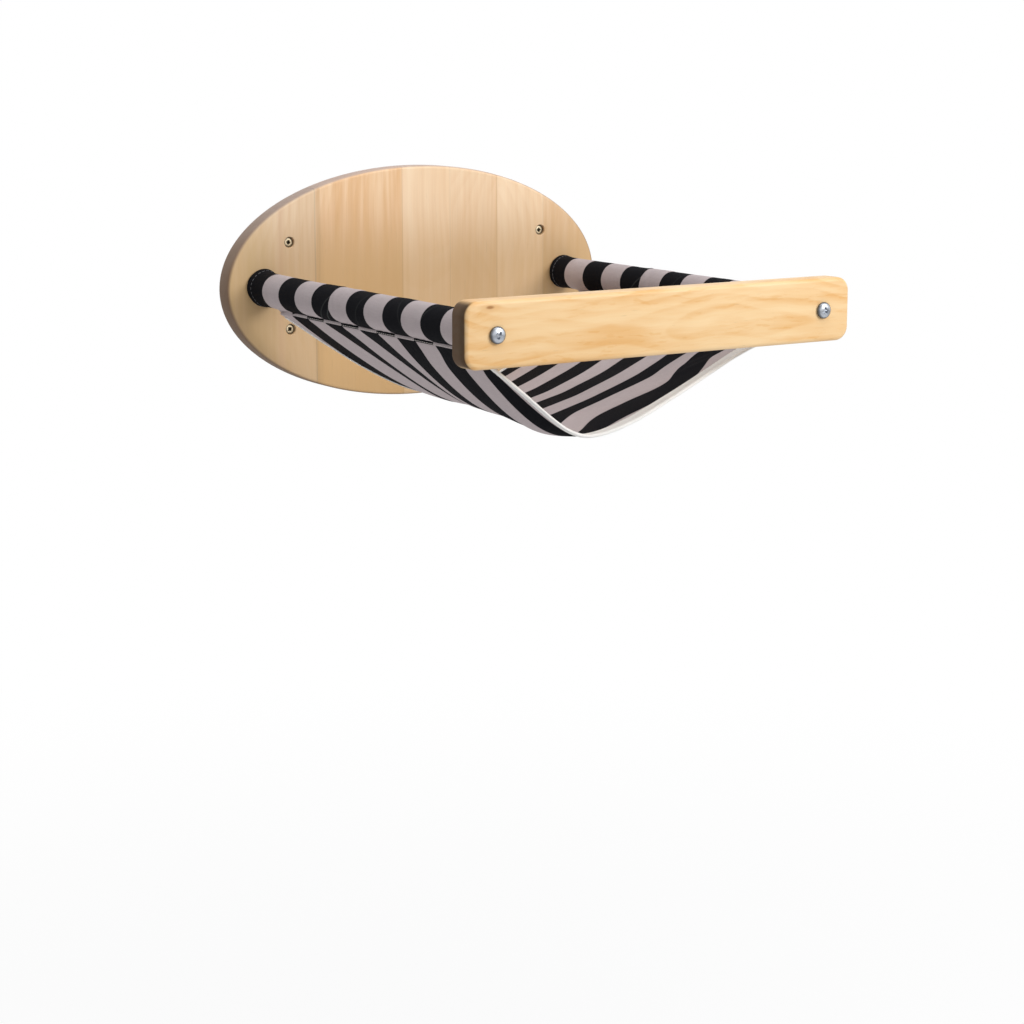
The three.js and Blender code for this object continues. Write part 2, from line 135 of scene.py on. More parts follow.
class BedClothSettings(bpy.types.PropertyGroup):
    """Sizes and colours of the canvas."""

    stripe_width: FloatProperty(
        name="Stripe", description="Width of each woven stripe",
        unit="LENGTH", default=29.1 * MM, min=5 * MM)
    first_stripe_end: FloatProperty(
        name="First stripe", description="Where the dark stripe next to the board ends",
        unit="LENGTH", default=24.1 * MM, min=0)
    yarn_pitch: FloatProperty(
        name="Yarn", description="Distance from one yarn of the canvas to the next",
        unit="LENGTH", default=0.75 * MM, min=0.2 * MM)
    thickness: FloatProperty(
        name="Canvas", description="Thickness of one layer of canvas",
        unit="LENGTH", default=0.8 * MM, min=0.2 * MM)
    sag: FloatProperty(
        name="Sag", description="How far the sling hangs below its seams",
        unit="LENGTH", default=80 * MM, min=10 * MM)
    hem_width: FloatProperty(
        name="Rear hem", description="Width of the rear hem on both faces of the sling",
        unit="LENGTH", default=4.8 * MM, min=3 * MM)
    front_hem_width: FloatProperty(
        name="Front hem", description="Width of the front hem on the sling's upper face",
        unit="LENGTH", default=9.5 * MM, min=3 * MM)
    front_hem_under: FloatProperty(
        name="Front hem below", description="Width of the front hem on the sling's lower face",
        unit="LENGTH", default=2.4 * MM, min=2 * MM)
    pale_colour: FloatVectorProperty(
        name="Pale stripe", description="Undyed yarn", subtype="COLOR",
        default=(0.60, 0.52, 0.525), min=0, max=1)
    dark_colour: FloatVectorProperty(
        name="Dark stripe", description="Black yarn", subtype="COLOR",
        default=(0.0085, 0.0085, 0.0105), min=0, max=1)
    hem_colour: FloatVectorProperty(
        name="Hem", description="Undyed canvas of the hems", subtype="COLOR",
        default=(0.96, 0.94, 0.91), min=0, max=1)
    thread_colour: FloatVectorProperty(
        name="Thread", description="Sewing thread", subtype="COLOR",
        default=(0.78, 0.73, 0.68), min=0, max=1)
    ring_thread_colour: FloatVectorProperty(
        name="Grey thread", description="Sewing thread at the sleeves' ends", subtype="COLOR",
        default=(0.13, 0.13, 0.14), min=0, max=1)


class BedMetalSettings(bpy.types.PropertyGroup):
    """Colours of the fasteners."""

    bright_zinc: FloatVectorProperty(
        name="Bright zinc", description="Plating of the bolts", subtype="COLOR",
        default=(0.52, 0.55, 0.60), min=0, max=1)
    yellow_zinc: FloatVectorProperty(
        name="Yellow zinc", description="Plating of the wall screws", subtype="COLOR",
        default=(0.62, 0.52, 0.36), min=0, max=1)
    brass: FloatVectorProperty(
        name="Brass", description="Threaded inserts", subtype="COLOR",
        default=(0.62, 0.44, 0.18), min=0, max=1)
    round_sides: IntProperty(
        name="Sides", description="Sides of each round piece of metal", default=48, min=12, max=128)


class BedStageSettings(bpy.types.PropertyGroup):
    """Floor, lamps and camera."""

    floor_drop: FloatProperty(
        name="Floor", description="Height of the wall face's middle above the floor",
        unit="LENGTH", default=0.80, min=0.2)
    key_power: FloatProperty(
        name="Key lamp", description="Power of the lamp in front on the right", default=31, min=0)
    top_power: FloatProperty(
        name="Top lamp", description="Power of the broad lamp overhead", default=19, min=0)
    sky_strength: FloatProperty(
        name="Sky", description="Even light from all round", default=0.42, min=0)


# Shader maths written as Python expressions


class Socket:
    """A value in a graph of nodes. Arithmetic on it adds Math nodes."""

    def __init__(self, graph, link):
        self.graph = graph
        self.link = link

    def math(self, operation, *values):
        return self.graph.add("ShaderNodeMath", {"operation": operation}, dict(enumerate(values)))

    def __add__(self, other):
        return self.math("ADD", self, other)

    def __sub__(self, other):
        return self.math("SUBTRACT", self, other)

    def __rsub__(self, other):
        return self.math("SUBTRACT", other, self)

    def __mul__(self, other):
        return self.math("MULTIPLY", self, other)

    def __truediv__(self, other):
        return self.math("DIVIDE", self, other)

    def __rtruediv__(self, other):
        return self.math("DIVIDE", other, self)

    def __abs__(self):
        return self.math("ABSOLUTE", self)

    __radd__ = __add__
    __rmul__ = __mul__

    def fraction(self):
        return self.math("FRACT", self)

    def floor(self):
        return self.math("FLOOR", self)

    def sine(self):
        return self.math("SINE", self)

    def root(self):
        return self.math("SQRT", self)

    def above(self, limit):
        return self.math("GREATER_THAN", self, limit)

    def least(self, other):
        return self.math("MINIMUM", self, other)

    def most(self, other):
        return self.math("MAXIMUM", self, other)

    def rise(self, low, high):
        """0 below low, 1 above high, and a smooth rise in between."""
        return self.graph.add(
            "ShaderNodeMapRange", {"interpolation_type": "SMOOTHSTEP"},
            {"Value": self, "From Min": low, "From Max": high})


class Graph:
    """The nodes of a material or of the sky."""

    def __init__(self, owner):
        owner.use_nodes = True
        self.nodes = owner.node_tree.nodes
        self.links = owner.node_tree.links

    def plug(self, socket, value):
        if isinstance(value, Socket):
            self.links.new(value.link, socket)
        else:
            socket.default_value = value

    def add(self, kind, settings, inputs, output=0):
        """A node of that kind, its settings made first and its inputs filled or linked after."""
        node = self.nodes.new(kind)
        for name, value in settings.items():
            if name == "stops":
                ramp = node.color_ramp
                while len(ramp.elements) < len(value):
                    ramp.elements.new(1)
                for element, (position, number) in zip(ramp.elements, value):
                    element.position = position
                    element.color = (number, number, number, 1)
            elif name == "ramp_interpolation":
                node.color_ramp.interpolation = value
            else:
                setattr(node, name, value)
        for key, value in inputs.items():
            self.plug(node.inputs[key], value)
        return Socket(self, node.outputs[output])

    def object_axes(self):
        place = self.add("ShaderNodeTexCoord", {}, {}, "Object")
        return [self.add("ShaderNodeSeparateXYZ", {}, {0: place}, axis) for axis in range(3)]

    def cloth_axes(self):
        place = self.add("ShaderNodeUVMap", {"uv_map": "UVMap"}, {})
        return [self.add("ShaderNodeSeparateXYZ", {}, {0: place}, axis) for axis in range(2)]

    def vector(self, x=0.0, y=0.0, z=0.0):
        return self.add("ShaderNodeCombineXYZ", {}, {0: x, 1: y, 2: z})

    def noise(self, x, y, z, detail=2.0, roughness=0.5):
        """Cloudy values from 0 to 1, of size 1 in the units of x, y and z."""
        return self.add(
            "ShaderNodeTexNoise", {},
            {"Vector": self.vector(x, y, z), "Scale": 1.0, "Detail": detail, "Roughness": roughness})

    def mix(self, share, first, second):
        """Colours mixed: first at share 0, second at share 1."""
        colours = [(*c, 1) if isinstance(c, (tuple, list)) else c for c in (first, second)]
        return self.add(
            "ShaderNodeMix", {"data_type": "RGBA"}, {0: share, 6: colours[0], 7: colours[1]}, 2)

    def shade(self, colour, value):
        """A colour made darker or lighter by a value round 1."""
        grey = self.vector(value, value, value)
        return self.add(
            "ShaderNodeMix", {"data_type": "RGBA", "blend_type": "MULTIPLY"},
            {0: 1.0, 6: colour, 7: grey}, 2)

    def held_numbers(self, share, stops):
        """Numbers that each hold from their own position to the next, as (position, number)."""
        return self.add(
            "ShaderNodeValToRGB", {"ramp_interpolation": "CONSTANT", "stops": stops}, {0: share}) * 1.0


class Finish(Graph):
    """A material and the Principled shader in it."""

    def __init__(self, name, constants):
        self.material = bpy.data.materials.new(name)
        super().__init__(self.material)
        self.shader = self.nodes["Principled BSDF"]
        for socket_name, value in constants.items():
            self.plug(self.shader.inputs[socket_name], value)

    def finish_with(self, colour, roughness, height=None, depth=1 * MM):
        """Feeds the shader. Height runs from 0 to 1 over the depth in metres."""
        self.plug(self.shader.inputs["Base Color"], colour)
        self.plug(self.shader.inputs["Roughness"], roughness)
        if height is not None:
            bump = self.add(
                "ShaderNodeBump", {}, {"Strength": 1.0, "Distance": depth, "Height": height})
            self.plug(self.shader.inputs["Normal"], bump)
        return self.material


# Wood

# Upright staves of the board: the share of its width where each ends, how orange it is, how pale
# it is and how far its own grain is shifted.
STAVE_SHARES = (
    (0.224, 0.10, 0.88, 0.77),
    (0.456, 0.50, 1.04, 0.12),
    (0.587, 0.14, 1.00, 0.58),
    (0.718, 0.24, 0.98, 0.93),
    (0.850, 0.12, 1.00, 0.44),
    (1.000, 0.34, 0.96, 0.66),
)

# Where a thin reddish streak runs up the board, as a share of its width.
BOARD_STREAK_SHARE = 0.135

# Tints that lie over the board's own colours. The greenish side and the heart tint also carry painted
# shade, the foot tint is painted shade, and the rim's top tint is painted light.
HEARTWOOD = (0.60, 0.34, 0.18)
# Greenish tint of the left side: partly the wood's tone, partly painted shade.
OLIVE_SIDE_AND_SHADE = (0.62, 0.46, 0.22)
# Darker heart tint: partly the wood's tone, partly painted shade.
HEART_TONE_AND_SHADE = (0.60, 0.35, 0.16)
# Painted shade at the board's foot.
FOOT_PAINTED_SHADE = (0.56, 0.345, 0.145)
RED_STREAK = (0.62, 0.33, 0.19)
# Painted light on the top of the board's rim.
RIM_PAINTED_TOP_LIGHT = (0.44, 0.33, 0.29)


def wood_rings(finish, across, deep, along, pitch, wander, wave_length):
    """Growth rings round a pith that wanders behind the face: 0 in early wood, 1 in late wood."""
    drift = finish.noise(along / wave_length, across * 3, 0.0, 1.0) - 0.5
    tilt = finish.noise(0.0, along / (wave_length * 2.3), 7.0, 1.0) - 0.5
    side = across + drift * wander
    depth = deep + tilt * wander * 1.6
    radius = (side * side + depth * depth).root()
    ring = radius / pitch + (finish.noise(along * 9, across * 40, deep * 40, 2.0) - 0.5) * 0.7
    phase = ring.fraction()
    return phase.rise(0.15, 0.80) * (1 - phase.rise(0.82, 1.0))


def wood_fibres(finish, across, deep, along):
    """Fine streaks along the grain, from 0 to 1."""
    return finish.noise(along * 22, across * 1500, deep * 1500, 3.0, 0.6)


def streaks(finish, across, deep, along, width, length):
    """Soft streaks along the grain, of that width and length, from 0 to 1."""
    return finish.noise(across / width, deep / width, along / length, 3.0, 0.55).rise(0.33, 0.67)


def board_finish(wood):
    """Edge-glued pine staves with upright grain, under satin lacquer.

    Tints are laid over each other in shares: warm heart streaks, a greenish left side, a darker heart
    and foot, one red streak and dark joints, then the sawn rim. The greenish side and the darker heart
    are partly the wood's tone and partly painted shade towards the bottom; the darker foot is painted
    shade; the rim is painted dark below and light at the top; the face is painted lighter towards the
    top.
    """
    finish = Finish("lacquered_board", {"Coat Weight": 0.12, "Coat Roughness": 0.35})
    x, y, z = finish.object_axes()
    share = (x - BOARD_LOW.x) / (BOARD_HIGH.x - BOARD_LOW.x)
    starts = (0.0,) + tuple(row[0] for row in STAVE_SHARES[:-1])
    tone, pale, shift = (
        finish.held_numbers(share, [(start, row[column]) for start, row in zip(starts, STAVE_SHARES)])
        for column in (1, 2, 3))
    sway = (finish.noise(x * 9 + shift * 5, y * 9, z * 6, 1.0) - 0.5) * 16 * MM
    own_x = x + sway + shift * 0.7
    rings = wood_rings(
        finish, x + (shift - 0.5) * 90 * MM - 20 * MM, y - 26 * MM - shift * 30 * MM, z + shift * 3.1,
        pitch=wood.ring_pitch * 1.9, wander=90 * MM, wave_length=130 * MM)
    fibres = wood_fibres(finish, x + shift, y, z)
    broad = streaks(finish, own_x, y, z, width=13 * MM, length=300 * MM)
    narrow = streaks(finish, own_x + 0.3, y, z, width=3.2 * MM, length=140 * MM)
    heart = streaks(finish, own_x + 0.6, y, z, width=17 * MM, length=110 * MM)
    warm = tone * (0.45 + broad * 0.5 + heart * 0.5) + broad * 0.16 + narrow * 0.14 + rings * 0.10
    colour = finish.mix(warm.least(0.95), tuple(wood.board_colour), tuple(wood.board_ring_colour))
    colour = finish.mix(tone * heart * narrow * 0.35, colour, HEARTWOOD)
    up = z / BOARD_HIGH.z
    # Painted shade with the wood's tone: the greenish left side grows stronger towards the bottom.
    olive_tint_and_shade = (1 - share.rise(0.07, 0.16)) * (1 - up.rise(0.1, 0.8) * 0.85)
    colour = finish.mix(olive_tint_and_shade * (0.35 + broad * 0.3), colour, OLIVE_SIDE_AND_SHADE)
    # Painted shade with the wood's tone: the orange staves grow darker and redder towards the bottom.
    heart_tone_and_shade = tone * (1 - up.rise(0.2, 0.95))
    colour = finish.mix(heart_tone_and_shade, colour, HEART_TONE_AND_SHADE)
    # Painted shade: the whole board grows darker and warmer towards the bottom.
    colour = finish.mix((1 - up.rise(0.05, 0.7)) * (0.5 + tone * 0.7), colour, FOOT_PAINTED_SHADE)
    stain = (1 - abs(share - BOARD_STREAK_SHARE).rise(0.002, 0.012)) * (0.4 + narrow * 0.6)
    colour = finish.mix(stain * 0.35, colour, RED_STREAK)
    past_joint = share - STAVE_SHARES[0][0]
    joint = past_joint.rise(-0.003, 0.002) * (1 - past_joint.rise(0.006, 0.026)) * (0.5 + narrow * 0.7)
    for row in STAVE_SHARES[:-1]:
        joint = joint + (1 - abs(share - row[0]).rise(0.0003, 0.0016))
    pore = finish.noise(z * 60, x * 900, y * 900, 1.0).rise(0.70, 0.80)
    rim_x = x / BOARD_HIGH.x
    rim = (rim_x * rim_x + up * up).root().rise(0.984, 1.0)
    # Painted shade and light on the rim: dark low down, grey and lighter towards the top.
    rim_tone_and_painted_light = finish.mix(up.rise(0.1, 0.95), tuple(wood.end_grain_and_shade_colour), RIM_PAINTED_TOP_LIGHT)
    colour = finish.mix(rim * 0.85, colour, rim_tone_and_painted_light)
    # Painted light: the face is made lighter towards the top; the joints, pores and fibres are the wood's
    # own.
    lie = pale * (1.00 + up.rise(0.2, 0.9) * 0.09 - joint * 0.13 - pore * 0.08 + (fibres - 0.5) * 0.10)
    colour = finish.shade(colour, lie)
    height = 0.5 + fibres * 0.3 - rings * 0.12 - joint * 0.4 - pore * 0.3
    return finish.finish_with(colour, 0.42 + fibres * 0.14 + rings * 0.06 + rim * 0.15, height, 0.08 * MM)


# The knot in the bar's face: its place from the bar's left end and top, and its half sizes.
KNOT_FROM_END = 20.8 * MM
KNOT_FROM_TOP = 4.8 * MM
KNOT_HALF_LENGTH = 3.8 * MM
KNOT_HALF_HEIGHT = 1.4 * MM
KNOT_DEPTH = 9 * MM
KNOT_HALO = (0.64, 0.33, 0.11)
KNOT_EYE = (0.30, 0.12, 0.025)

# Painted shade on the bar's ends, darkest close to its front face.
END_PAINTED_SHADE = (0.030, 0.013, 0.006)


def bar_finish(wood):
    """Honey pine with its grain along the bar, one small knot and satin lacquer."""
    finish = Finish("lacquered_bar", {
        "Coat Weight": 0.08, "Coat Roughness": 0.32, "Specular IOR Level": 0.3})
    x, y, z = finish.object_axes()
    knot_x = (x - (BAR_LOW.x + KNOT_FROM_END)) / KNOT_HALF_LENGTH
    knot_z = (z - (BAR_HIGH.z - KNOT_FROM_TOP)) / KNOT_HALF_HEIGHT
    knot_y = (y - BAR_LOW.y) / KNOT_DEPTH
    knot_reach = (knot_x * knot_x + knot_z * knot_z + knot_y * knot_y).root()
    swerve = (1 - (knot_x * knot_x / 9 + knot_z * knot_z / 30).root().rise(0.0, 1.6)) * 2.6 * MM
    roll = (finish.noise(x * 14, y * 9, z * 6, 2.0) - 0.5) * 16 * MM
    side = z + 6 * MM - swerve
    rings = wood_rings(
        finish, side, y - BAR_HIGH.y + 9 * MM, x,
        pitch=wood.ring_pitch * 1.55, wander=46 * MM, wave_length=120 * MM)
    fibres = wood_fibres(finish, side, y, x)
    broad = streaks(finish, side + roll, y, x, width=14 * MM, length=120 * MM)
    narrow = streaks(finish, side + roll, y, x + 0.4, width=3 * MM, length=45 * MM)
    flame = streaks(finish, side + roll, y, x + 0.9, width=2.2 * MM, length=16 * MM).rise(0.72, 1.0)
    warm = broad * 0.34 + narrow * 0.10 + rings * (0.10 + broad * 0.30) + fibres * 0.06
    warm = warm + flame * broad * 0.30 + (1 - x.rise(-0.15, 0.05)) * 0.12
    colour = finish.mix(warm.least(0.95), tuple(wood.bar_colour), tuple(wood.bar_ring_colour))
    fleck = finish.noise(x * 85, y * 700, z * 900, 1.0).rise(0.71, 0.79)
    eye = 1 - knot_reach.rise(0.35, 1.25)
    halo = 1 - knot_reach.rise(1.0, 3.4)
    colour = finish.mix(halo * 0.35, colour, KNOT_HALO)
    colour = finish.mix(eye * 0.8, colour, KNOT_EYE)
    # Painted shade on both ends of the bar: the edge colour darkened further, and darker still near the
    # front face.
    end = (1 - (BAR_HIGH.x - abs(x)).rise(3 * MM, 9 * MM)) * (y - BAR_LOW.y).rise(1.0 * MM, 2.6 * MM)
    near_face = 1 - (y - BAR_LOW.y).rise(4 * MM, 12 * MM)
    end_grain_and_painted_shade = finish.mix(near_face, finish.shade((*wood.end_grain_and_shade_colour, 1), 0.42), END_PAINTED_SHADE)
    colour = finish.mix(end * 0.92, colour, end_grain_and_painted_shade)
    colour = finish.shade(colour, 1.02 - fleck * 0.12 + (fibres - 0.5) * 0.07)
    height = 0.5 + fibres * 0.3 - rings * 0.12 - fleck * 0.3 - eye * 0.4
    return finish.finish_with(colour, 0.38 + fibres * 0.14 + eye * 0.1 + end * 0.45, height, 0.07 * MM)


def dowel_finish(wood):
    """Sanded round wood with straight grain."""
    finish = Finish("sanded_dowel", {})
    x, y, z = finish.object_axes()
    rings = wood_rings(
        finish, x * 0.9, z + 30 * MM, y,
        pitch=wood.ring_pitch * 0.6, wander=10 * MM, wave_length=200 * MM)
    fibres = wood_fibres(finish, x, z, y)
    colour = finish.mix(
        rings * 0.4 + fibres * 0.2, tuple(wood.dowel_colour), tuple(wood.bar_ring_colour))
    return finish.finish_with(colour, 0.5 + fibres * 0.2, fibres, 0.08 * MM)


# Metal


def plated_finish(name, colour, roughness, rim=None, recess=1.0):
    """Zinc or brass with soft blotches and fine scratches, with painted shade in its recess and towards
    its rim.
    """
    finish = Finish(name, {"Metallic": 1.0})
    x, y, z = finish.object_axes()
    blotch = finish.noise(x * 420, y * 420, z * 420, 2.0)
    scratch = finish.noise(x * 5200, y * 900, z * 700, 2.0, 0.6)
    lie = 0.82 + blotch * 0.32
    if rim:
        from_axis = finish.add("ShaderNodeAttribute", {"attribute_name": "from_axis"}, {}, "Fac")
        # Painted shade: the head grows darker towards its rim.
        lie = lie * (1 - from_axis.rise(rim * 0.72, rim * 0.95) * 0.72)
        # Painted shade: the head is darker in its cross recess, by the recess share.
        lie = lie * (recess + (1 - recess) * from_axis.rise(rim * 0.34, rim * 0.56))
    tinted = finish.shade((*colour, 1), lie)
    wear = roughness + blotch * 0.16 + scratch.rise(0.55, 0.8) * 0.12
    return finish.finish_with(tinted, wear, scratch * 0.6 + blotch * 0.4, 0.015 * MM)


# Canvas

# Dark yarn rubbed pale on a crease, and how far the stripes' edges stray and blur.
RUBBED_YARN = (0.085, 0.09, 0.085)
STRIPE_STRAY = 0.6 * MM
STRIPE_BLUR = 0.35 * MM


def weave(finish, across, along, pitch):
    """Plain weave: the height of the yarns, and how far down between them a place lies."""
    wander = (finish.noise(across * 260, along * 260, 0.0, 1.0) - 0.5) * 0.5
    warp = across / pitch + wander
    weft = along / pitch - wander
    warp_round = (warp.fraction() * math.pi).sine()
    weft_round = (weft.fraction() * math.pi).sine()
    warp_over = ((warp.floor() + weft.floor()) * 0.5).fraction().above(0.25)
    over = warp_round * (0.45 + weft_round * 0.55)
    under = weft_round * (0.45 + warp_round * 0.55)
    return warp_over * over + (1 - warp_over) * under


def canvas_finish(name, cloth, striped, colour, creases=()):
    """Canvas, in even dark and pale stripes across the dowels or plain, rubbed along its creases."""
    finish = Finish(name, {"Specular IOR Level": 0.05})
    across, along = finish.cloth_axes()
    yarns = weave(finish, across, along, cloth.yarn_pitch)
    warp_slub = finish.noise(across * 1400, along * 90, 8.0, 2.0)
    weft_slub = finish.noise(across * 90, along * 1400, 3.0, 2.0)
    fuzz = finish.noise(across * 2600, along * 2600, 1.0, 2.0)
    cloud = finish.noise(across * 16, along * 16, 5.0, 3.0)
    slubs = (warp_slub + weft_slub - 1) * 0.16
    pale = finish.shade((*colour, 1), 0.84 + yarns * 0.20 + slubs + (cloud - 0.5) * 0.10)
    if striped:
        edge = (finish.noise(across * 1200, along * 300, 2.0, 1.0) - 0.5) * STRIPE_STRAY
        turn = (along + edge - cloth.first_stripe_end) / (2 * cloth.stripe_width)
        inside = turn.fraction()
        soft = STRIPE_BLUR / cloth.stripe_width
        is_pale = inside.rise(0.0, soft) * (1 - inside.rise(0.5, 0.5 + soft))
        lint = 0.7 + yarns * 0.5 + fuzz.rise(0.55, 0.85) * 1.2 + (cloud - 0.5) * 0.5
        dark = finish.shade((*cloth.dark_colour, 1), lint)
        rubbed = 0.0
        for place, lean, height in creases:
            line = along - place * BED_LENGTH - (across - SLEEVE_ROUND_WAY / 2) * lean
            rubbed = (1 - abs(line).rise(0.1 * MM, 1.6 * MM)) * (height / (0.5 * MM)) + rubbed
        if creases:
            flank = across.rise(SLEEVE_ROUND_WAY * 0.5, SLEEVE_ROUND_WAY * 0.62)
            rubbed = rubbed * flank * fuzz.rise(0.2, 0.6)
            dark = finish.mix(rubbed.least(0.9), dark, RUBBED_YARN)
        pale = finish.mix(is_pale, dark, pale)
    height = yarns * 0.8 + fuzz * 0.2
    return finish.finish_with(pale, 0.92 - yarns * 0.10, height, 0.16 * MM)


def thread_finish(name, colour):
    """Twisted sewing thread."""
    finish = Finish(name, {"Sheen Weight": 0.2})
    x, y, z = finish.object_axes()
    ply = ((x + y + z) * 5200).sine() * 0.5 + 0.5
    fuzz = finish.noise(x * 1500, y * 1500, z * 1500, 1.0)
    twisted = finish.shade((*colour, 1), 0.84 + ply * 0.14 + fuzz * 0.12)
    return finish.finish_with(twisted, 0.62 + fuzz * 0.15, ply, 0.05 * MM)


# Modelling helpers


def deselect_all():
    if bpy.context.object and bpy.context.object.mode != "OBJECT":
        bpy.ops.object.mode_set(mode="OBJECT")
    bpy.ops.object.select_all(action="DESELECT")


def take(piece):
    """Makes the piece the only selected object, and the active one."""
    deselect_all()
    piece.select_set(True)
    bpy.context.view_layer.objects.active = piece


def added(name):
    """The primitive just added, under the piece's name."""
    piece = bpy.context.object
    piece.name = name
    piece.data.name = name
    return piece


def apply_place(piece):
    take(piece)
    bpy.ops.object.transform_apply(location=True, rotation=True, scale=True)


def pick(piece, kind, test):
    """In edit mode, selects just the piece's faces, edges or verts that pass the test."""
    take(piece)
    bpy.ops.object.mode_set(mode="EDIT")
    bpy.ops.mesh.select_mode(type={"faces": "FACE", "edges": "EDGE", "verts": "VERT"}[kind])
    bpy.ops.mesh.select_all(action="DESELECT")
    mesh = bmesh.from_edit_mesh(piece.data)
    for element in getattr(mesh, kind):
        if test(element):
            element.select_set(True)
    mesh.select_flush_mode()
    bmesh.update_edit_mesh(piece.data)


def leave_edit():
    bpy.ops.object.mode_set(mode="OBJECT")


def note_radius(piece):
    """Keeps each point's distance from the turning axis with the piece, for its finish."""
    note = piece.data.attributes.new("from_axis", "FLOAT", "POINT")
    for vert, value in zip(piece.data.vertices, note.data):
        value.value = math.hypot(vert.co.x, vert.co.z)


def discard(piece):
    bpy.data.objects.remove(piece, do_unlink=True)


def round_edges(piece, radius, segments, test):
    """Rounds the piece's edges that pass the test."""
    pick(piece, "edges", test)
    bpy.ops.mesh.bevel(offset=radius, segments=segments, affect="EDGES")
    leave_edit()


def face_outwards(piece):
    """Merges doubles and turns all the faces of a closed piece out."""
    pick(piece, "verts", lambda vert: True)
    bpy.ops.mesh.remove_doubles(threshold=0.002 * MM)
    bpy.ops.mesh.normals_make_consistent(inside=False)
    leave_edit()


def apply_modifier(piece, kind, **settings):
    take(piece)
    modifier = piece.modifiers.new(kind.title(), kind)
    for name, value in settings.items():
        setattr(modifier, name, value)
    bpy.ops.object.modifier_apply(modifier=modifier.name)


def cut(piece, cutter):
    """Cuts the cutter's shape out of the piece, and removes the cutter."""
    apply_modifier(piece, "BOOLEAN", operation="DIFFERENCE", solver="EXACT", object=cutter)
    discard(cutter)


def smooth(piece, angle):
    take(piece)
    bpy.ops.object.shade_smooth_by_angle(angle=math.radians(angle))


def turn(name, steps, sides):
    """A round piece about the Y axis: a disc extruded and scaled along the steps of (radius, y)."""
    deselect_all()
    radius, place = steps[0]
    bpy.ops.mesh.primitive_circle_add(
        vertices=sides, radius=radius, fill_type="NGON",
        location=(0, place, 0), rotation=(math.pi / 2, 0, 0))
    piece = added(name)
    apply_place(piece)
    pick(piece, "faces", lambda face: True)
    for next_radius, next_place in steps[1:]:
        bpy.ops.mesh.extrude_region_move(
            TRANSFORM_OT_translate={"value": (0, next_place - place, 0)})
        ratio = next_radius / radius
        bpy.ops.transform.resize(value=(ratio, 1, ratio), center_override=(0, next_place, 0))
        radius, place = next_radius, next_place
    leave_edit()
    face_outwards(piece)
    return piece


def drill(piece, x, z, sides, steps):
    """Cuts a hole, turned along the steps, out of the piece at x and z."""
    hole = turn("hole", steps, sides)
    hole.data.transform(Matrix.Translation((x, 0, z)))
    cut(piece, hole)


def copy_piece(piece, name, matrix):
    """A copy with a mesh of its own, placed in its mesh by the matrix."""
    copy = bpy.data.objects.new(name, piece.data.copy())
    copy.data.name = name
    copy.data.transform(matrix)
    bpy.context.scene.collection.objects.link(copy)
    return copy


def lay_copies(name, pattern, matrices):
    """One piece that holds a copy of the pattern at each matrix. The pattern is removed."""
    shape = bmesh.new()
    for matrix in matrices:
        copy = pattern.data.copy()
        copy.transform(matrix)
        shape.from_mesh(copy)
        bpy.data.meshes.remove(copy)
    mesh = bpy.data.meshes.new(name)
    shape.to_mesh(mesh)
    shape.free()
    piece = bpy.data.objects.new(name, mesh)
    bpy.context.scene.collection.objects.link(piece)
    discard(pattern)
    return piece


def paint(piece, material):
    piece.data.materials.clear()
    piece.data.materials.append(material)


def dress(piece, material, slot, *nodes):
    """Gives a finished piece its material and its body, and hides the frame's nodes that it stands for.
    """
    paint(piece, material)
    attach(piece, "root")
    if nodes:
        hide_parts(*nodes)


def sheet_from_grid(name, columns, rows, place, cloth_place):
    """A sheet whose point at shares (u, v) lies at place(u, v), with its flat place as its UV."""
    deselect_all()
    bpy.ops.mesh.primitive_grid_add(
        x_subdivisions=columns, y_subdivisions=rows, size=1, calc_uvs=True)
    piece = added(name)
    mesh = piece.data
    shares = [(vert.co.x + 0.5, vert.co.y + 0.5) for vert in mesh.vertices]
    flat = [cloth_place(u, v) for u, v in shares]
    for vert, (u, v) in zip(mesh.vertices, shares):
        vert.co = place(u, v)
    layer = mesh.uv_layers["UVMap"].data
    for loop in mesh.loops:
        layer[loop.index].uv = flat[loop.vertex_index]
    return piece


def thicken(piece, thickness):
    """Gives a sheet its two sides and rims, shades it smooth and turns its faces out."""
    apply_modifier(piece, "SOLIDIFY", thickness=thickness, offset=0, use_even_offset=True)
    smooth(piece, 50)
    face_outwards(piece)


def smoothstep(value, low, high):
    share = min(max((value - low) / (high - low), 0.0), 1.0)
    return share * share * (3 - 2 * share)


def blend(first, second, share):
    return first + (second - first) * share


def cloudy(x, y, z=0.0):
    """Smooth noise from about -1 to 1, of size 1."""
    return noise.noise(Vector((x, y, z)))


# The sling's form

# Section of the hanging cloth at shares of the bed's length: where its lowest line lies as a share
# of the half span, its depth as a share of the sag, and how round its left and right halves are.
SECTION_SHARES = (
    (0.090, 0.020, 0.920, 0.790, 0.410),
    (0.160, -0.034, 0.913, 0.690, 0.420),
    (0.230, -0.100, 0.911, 0.450, 0.400),
    (0.314, -0.178, 0.906, 0.185, 0.340),
    (0.392, -0.221, 0.875, 0.320, 0.350),
    (0.477, -0.257, 0.857, 0.210, 0.330),
    (0.560, -0.303, 0.838, 0.370, 0.300),
    (0.640, -0.337, 0.813, 0.960, 0.280),
    (0.710, -0.368, 0.804, 1.740, 0.260),
    (0.790, -0.388, 0.807, 1.660, 0.220),
    (0.865, -0.420, 0.843, 0.670, 0.190),
    (0.930, -0.432, 0.855, 0.900, 0.165),
    (1.000, -0.355, 0.837, 0.105, 0.165),
)

# How far the sling's front edge is drawn back, as a share of its curve, across the half span.
FRONT_EDGE_SHARES = (
    (-1.00, 0.00),
    (-0.80, -0.14),
    (-0.50, -0.10),
    (-0.25, -0.16),
    (0.00, 0.02),
    (0.33, 0.51),
    (0.66, 0.98),
    (0.82, 0.88),
    (1.00, 0.00),
)


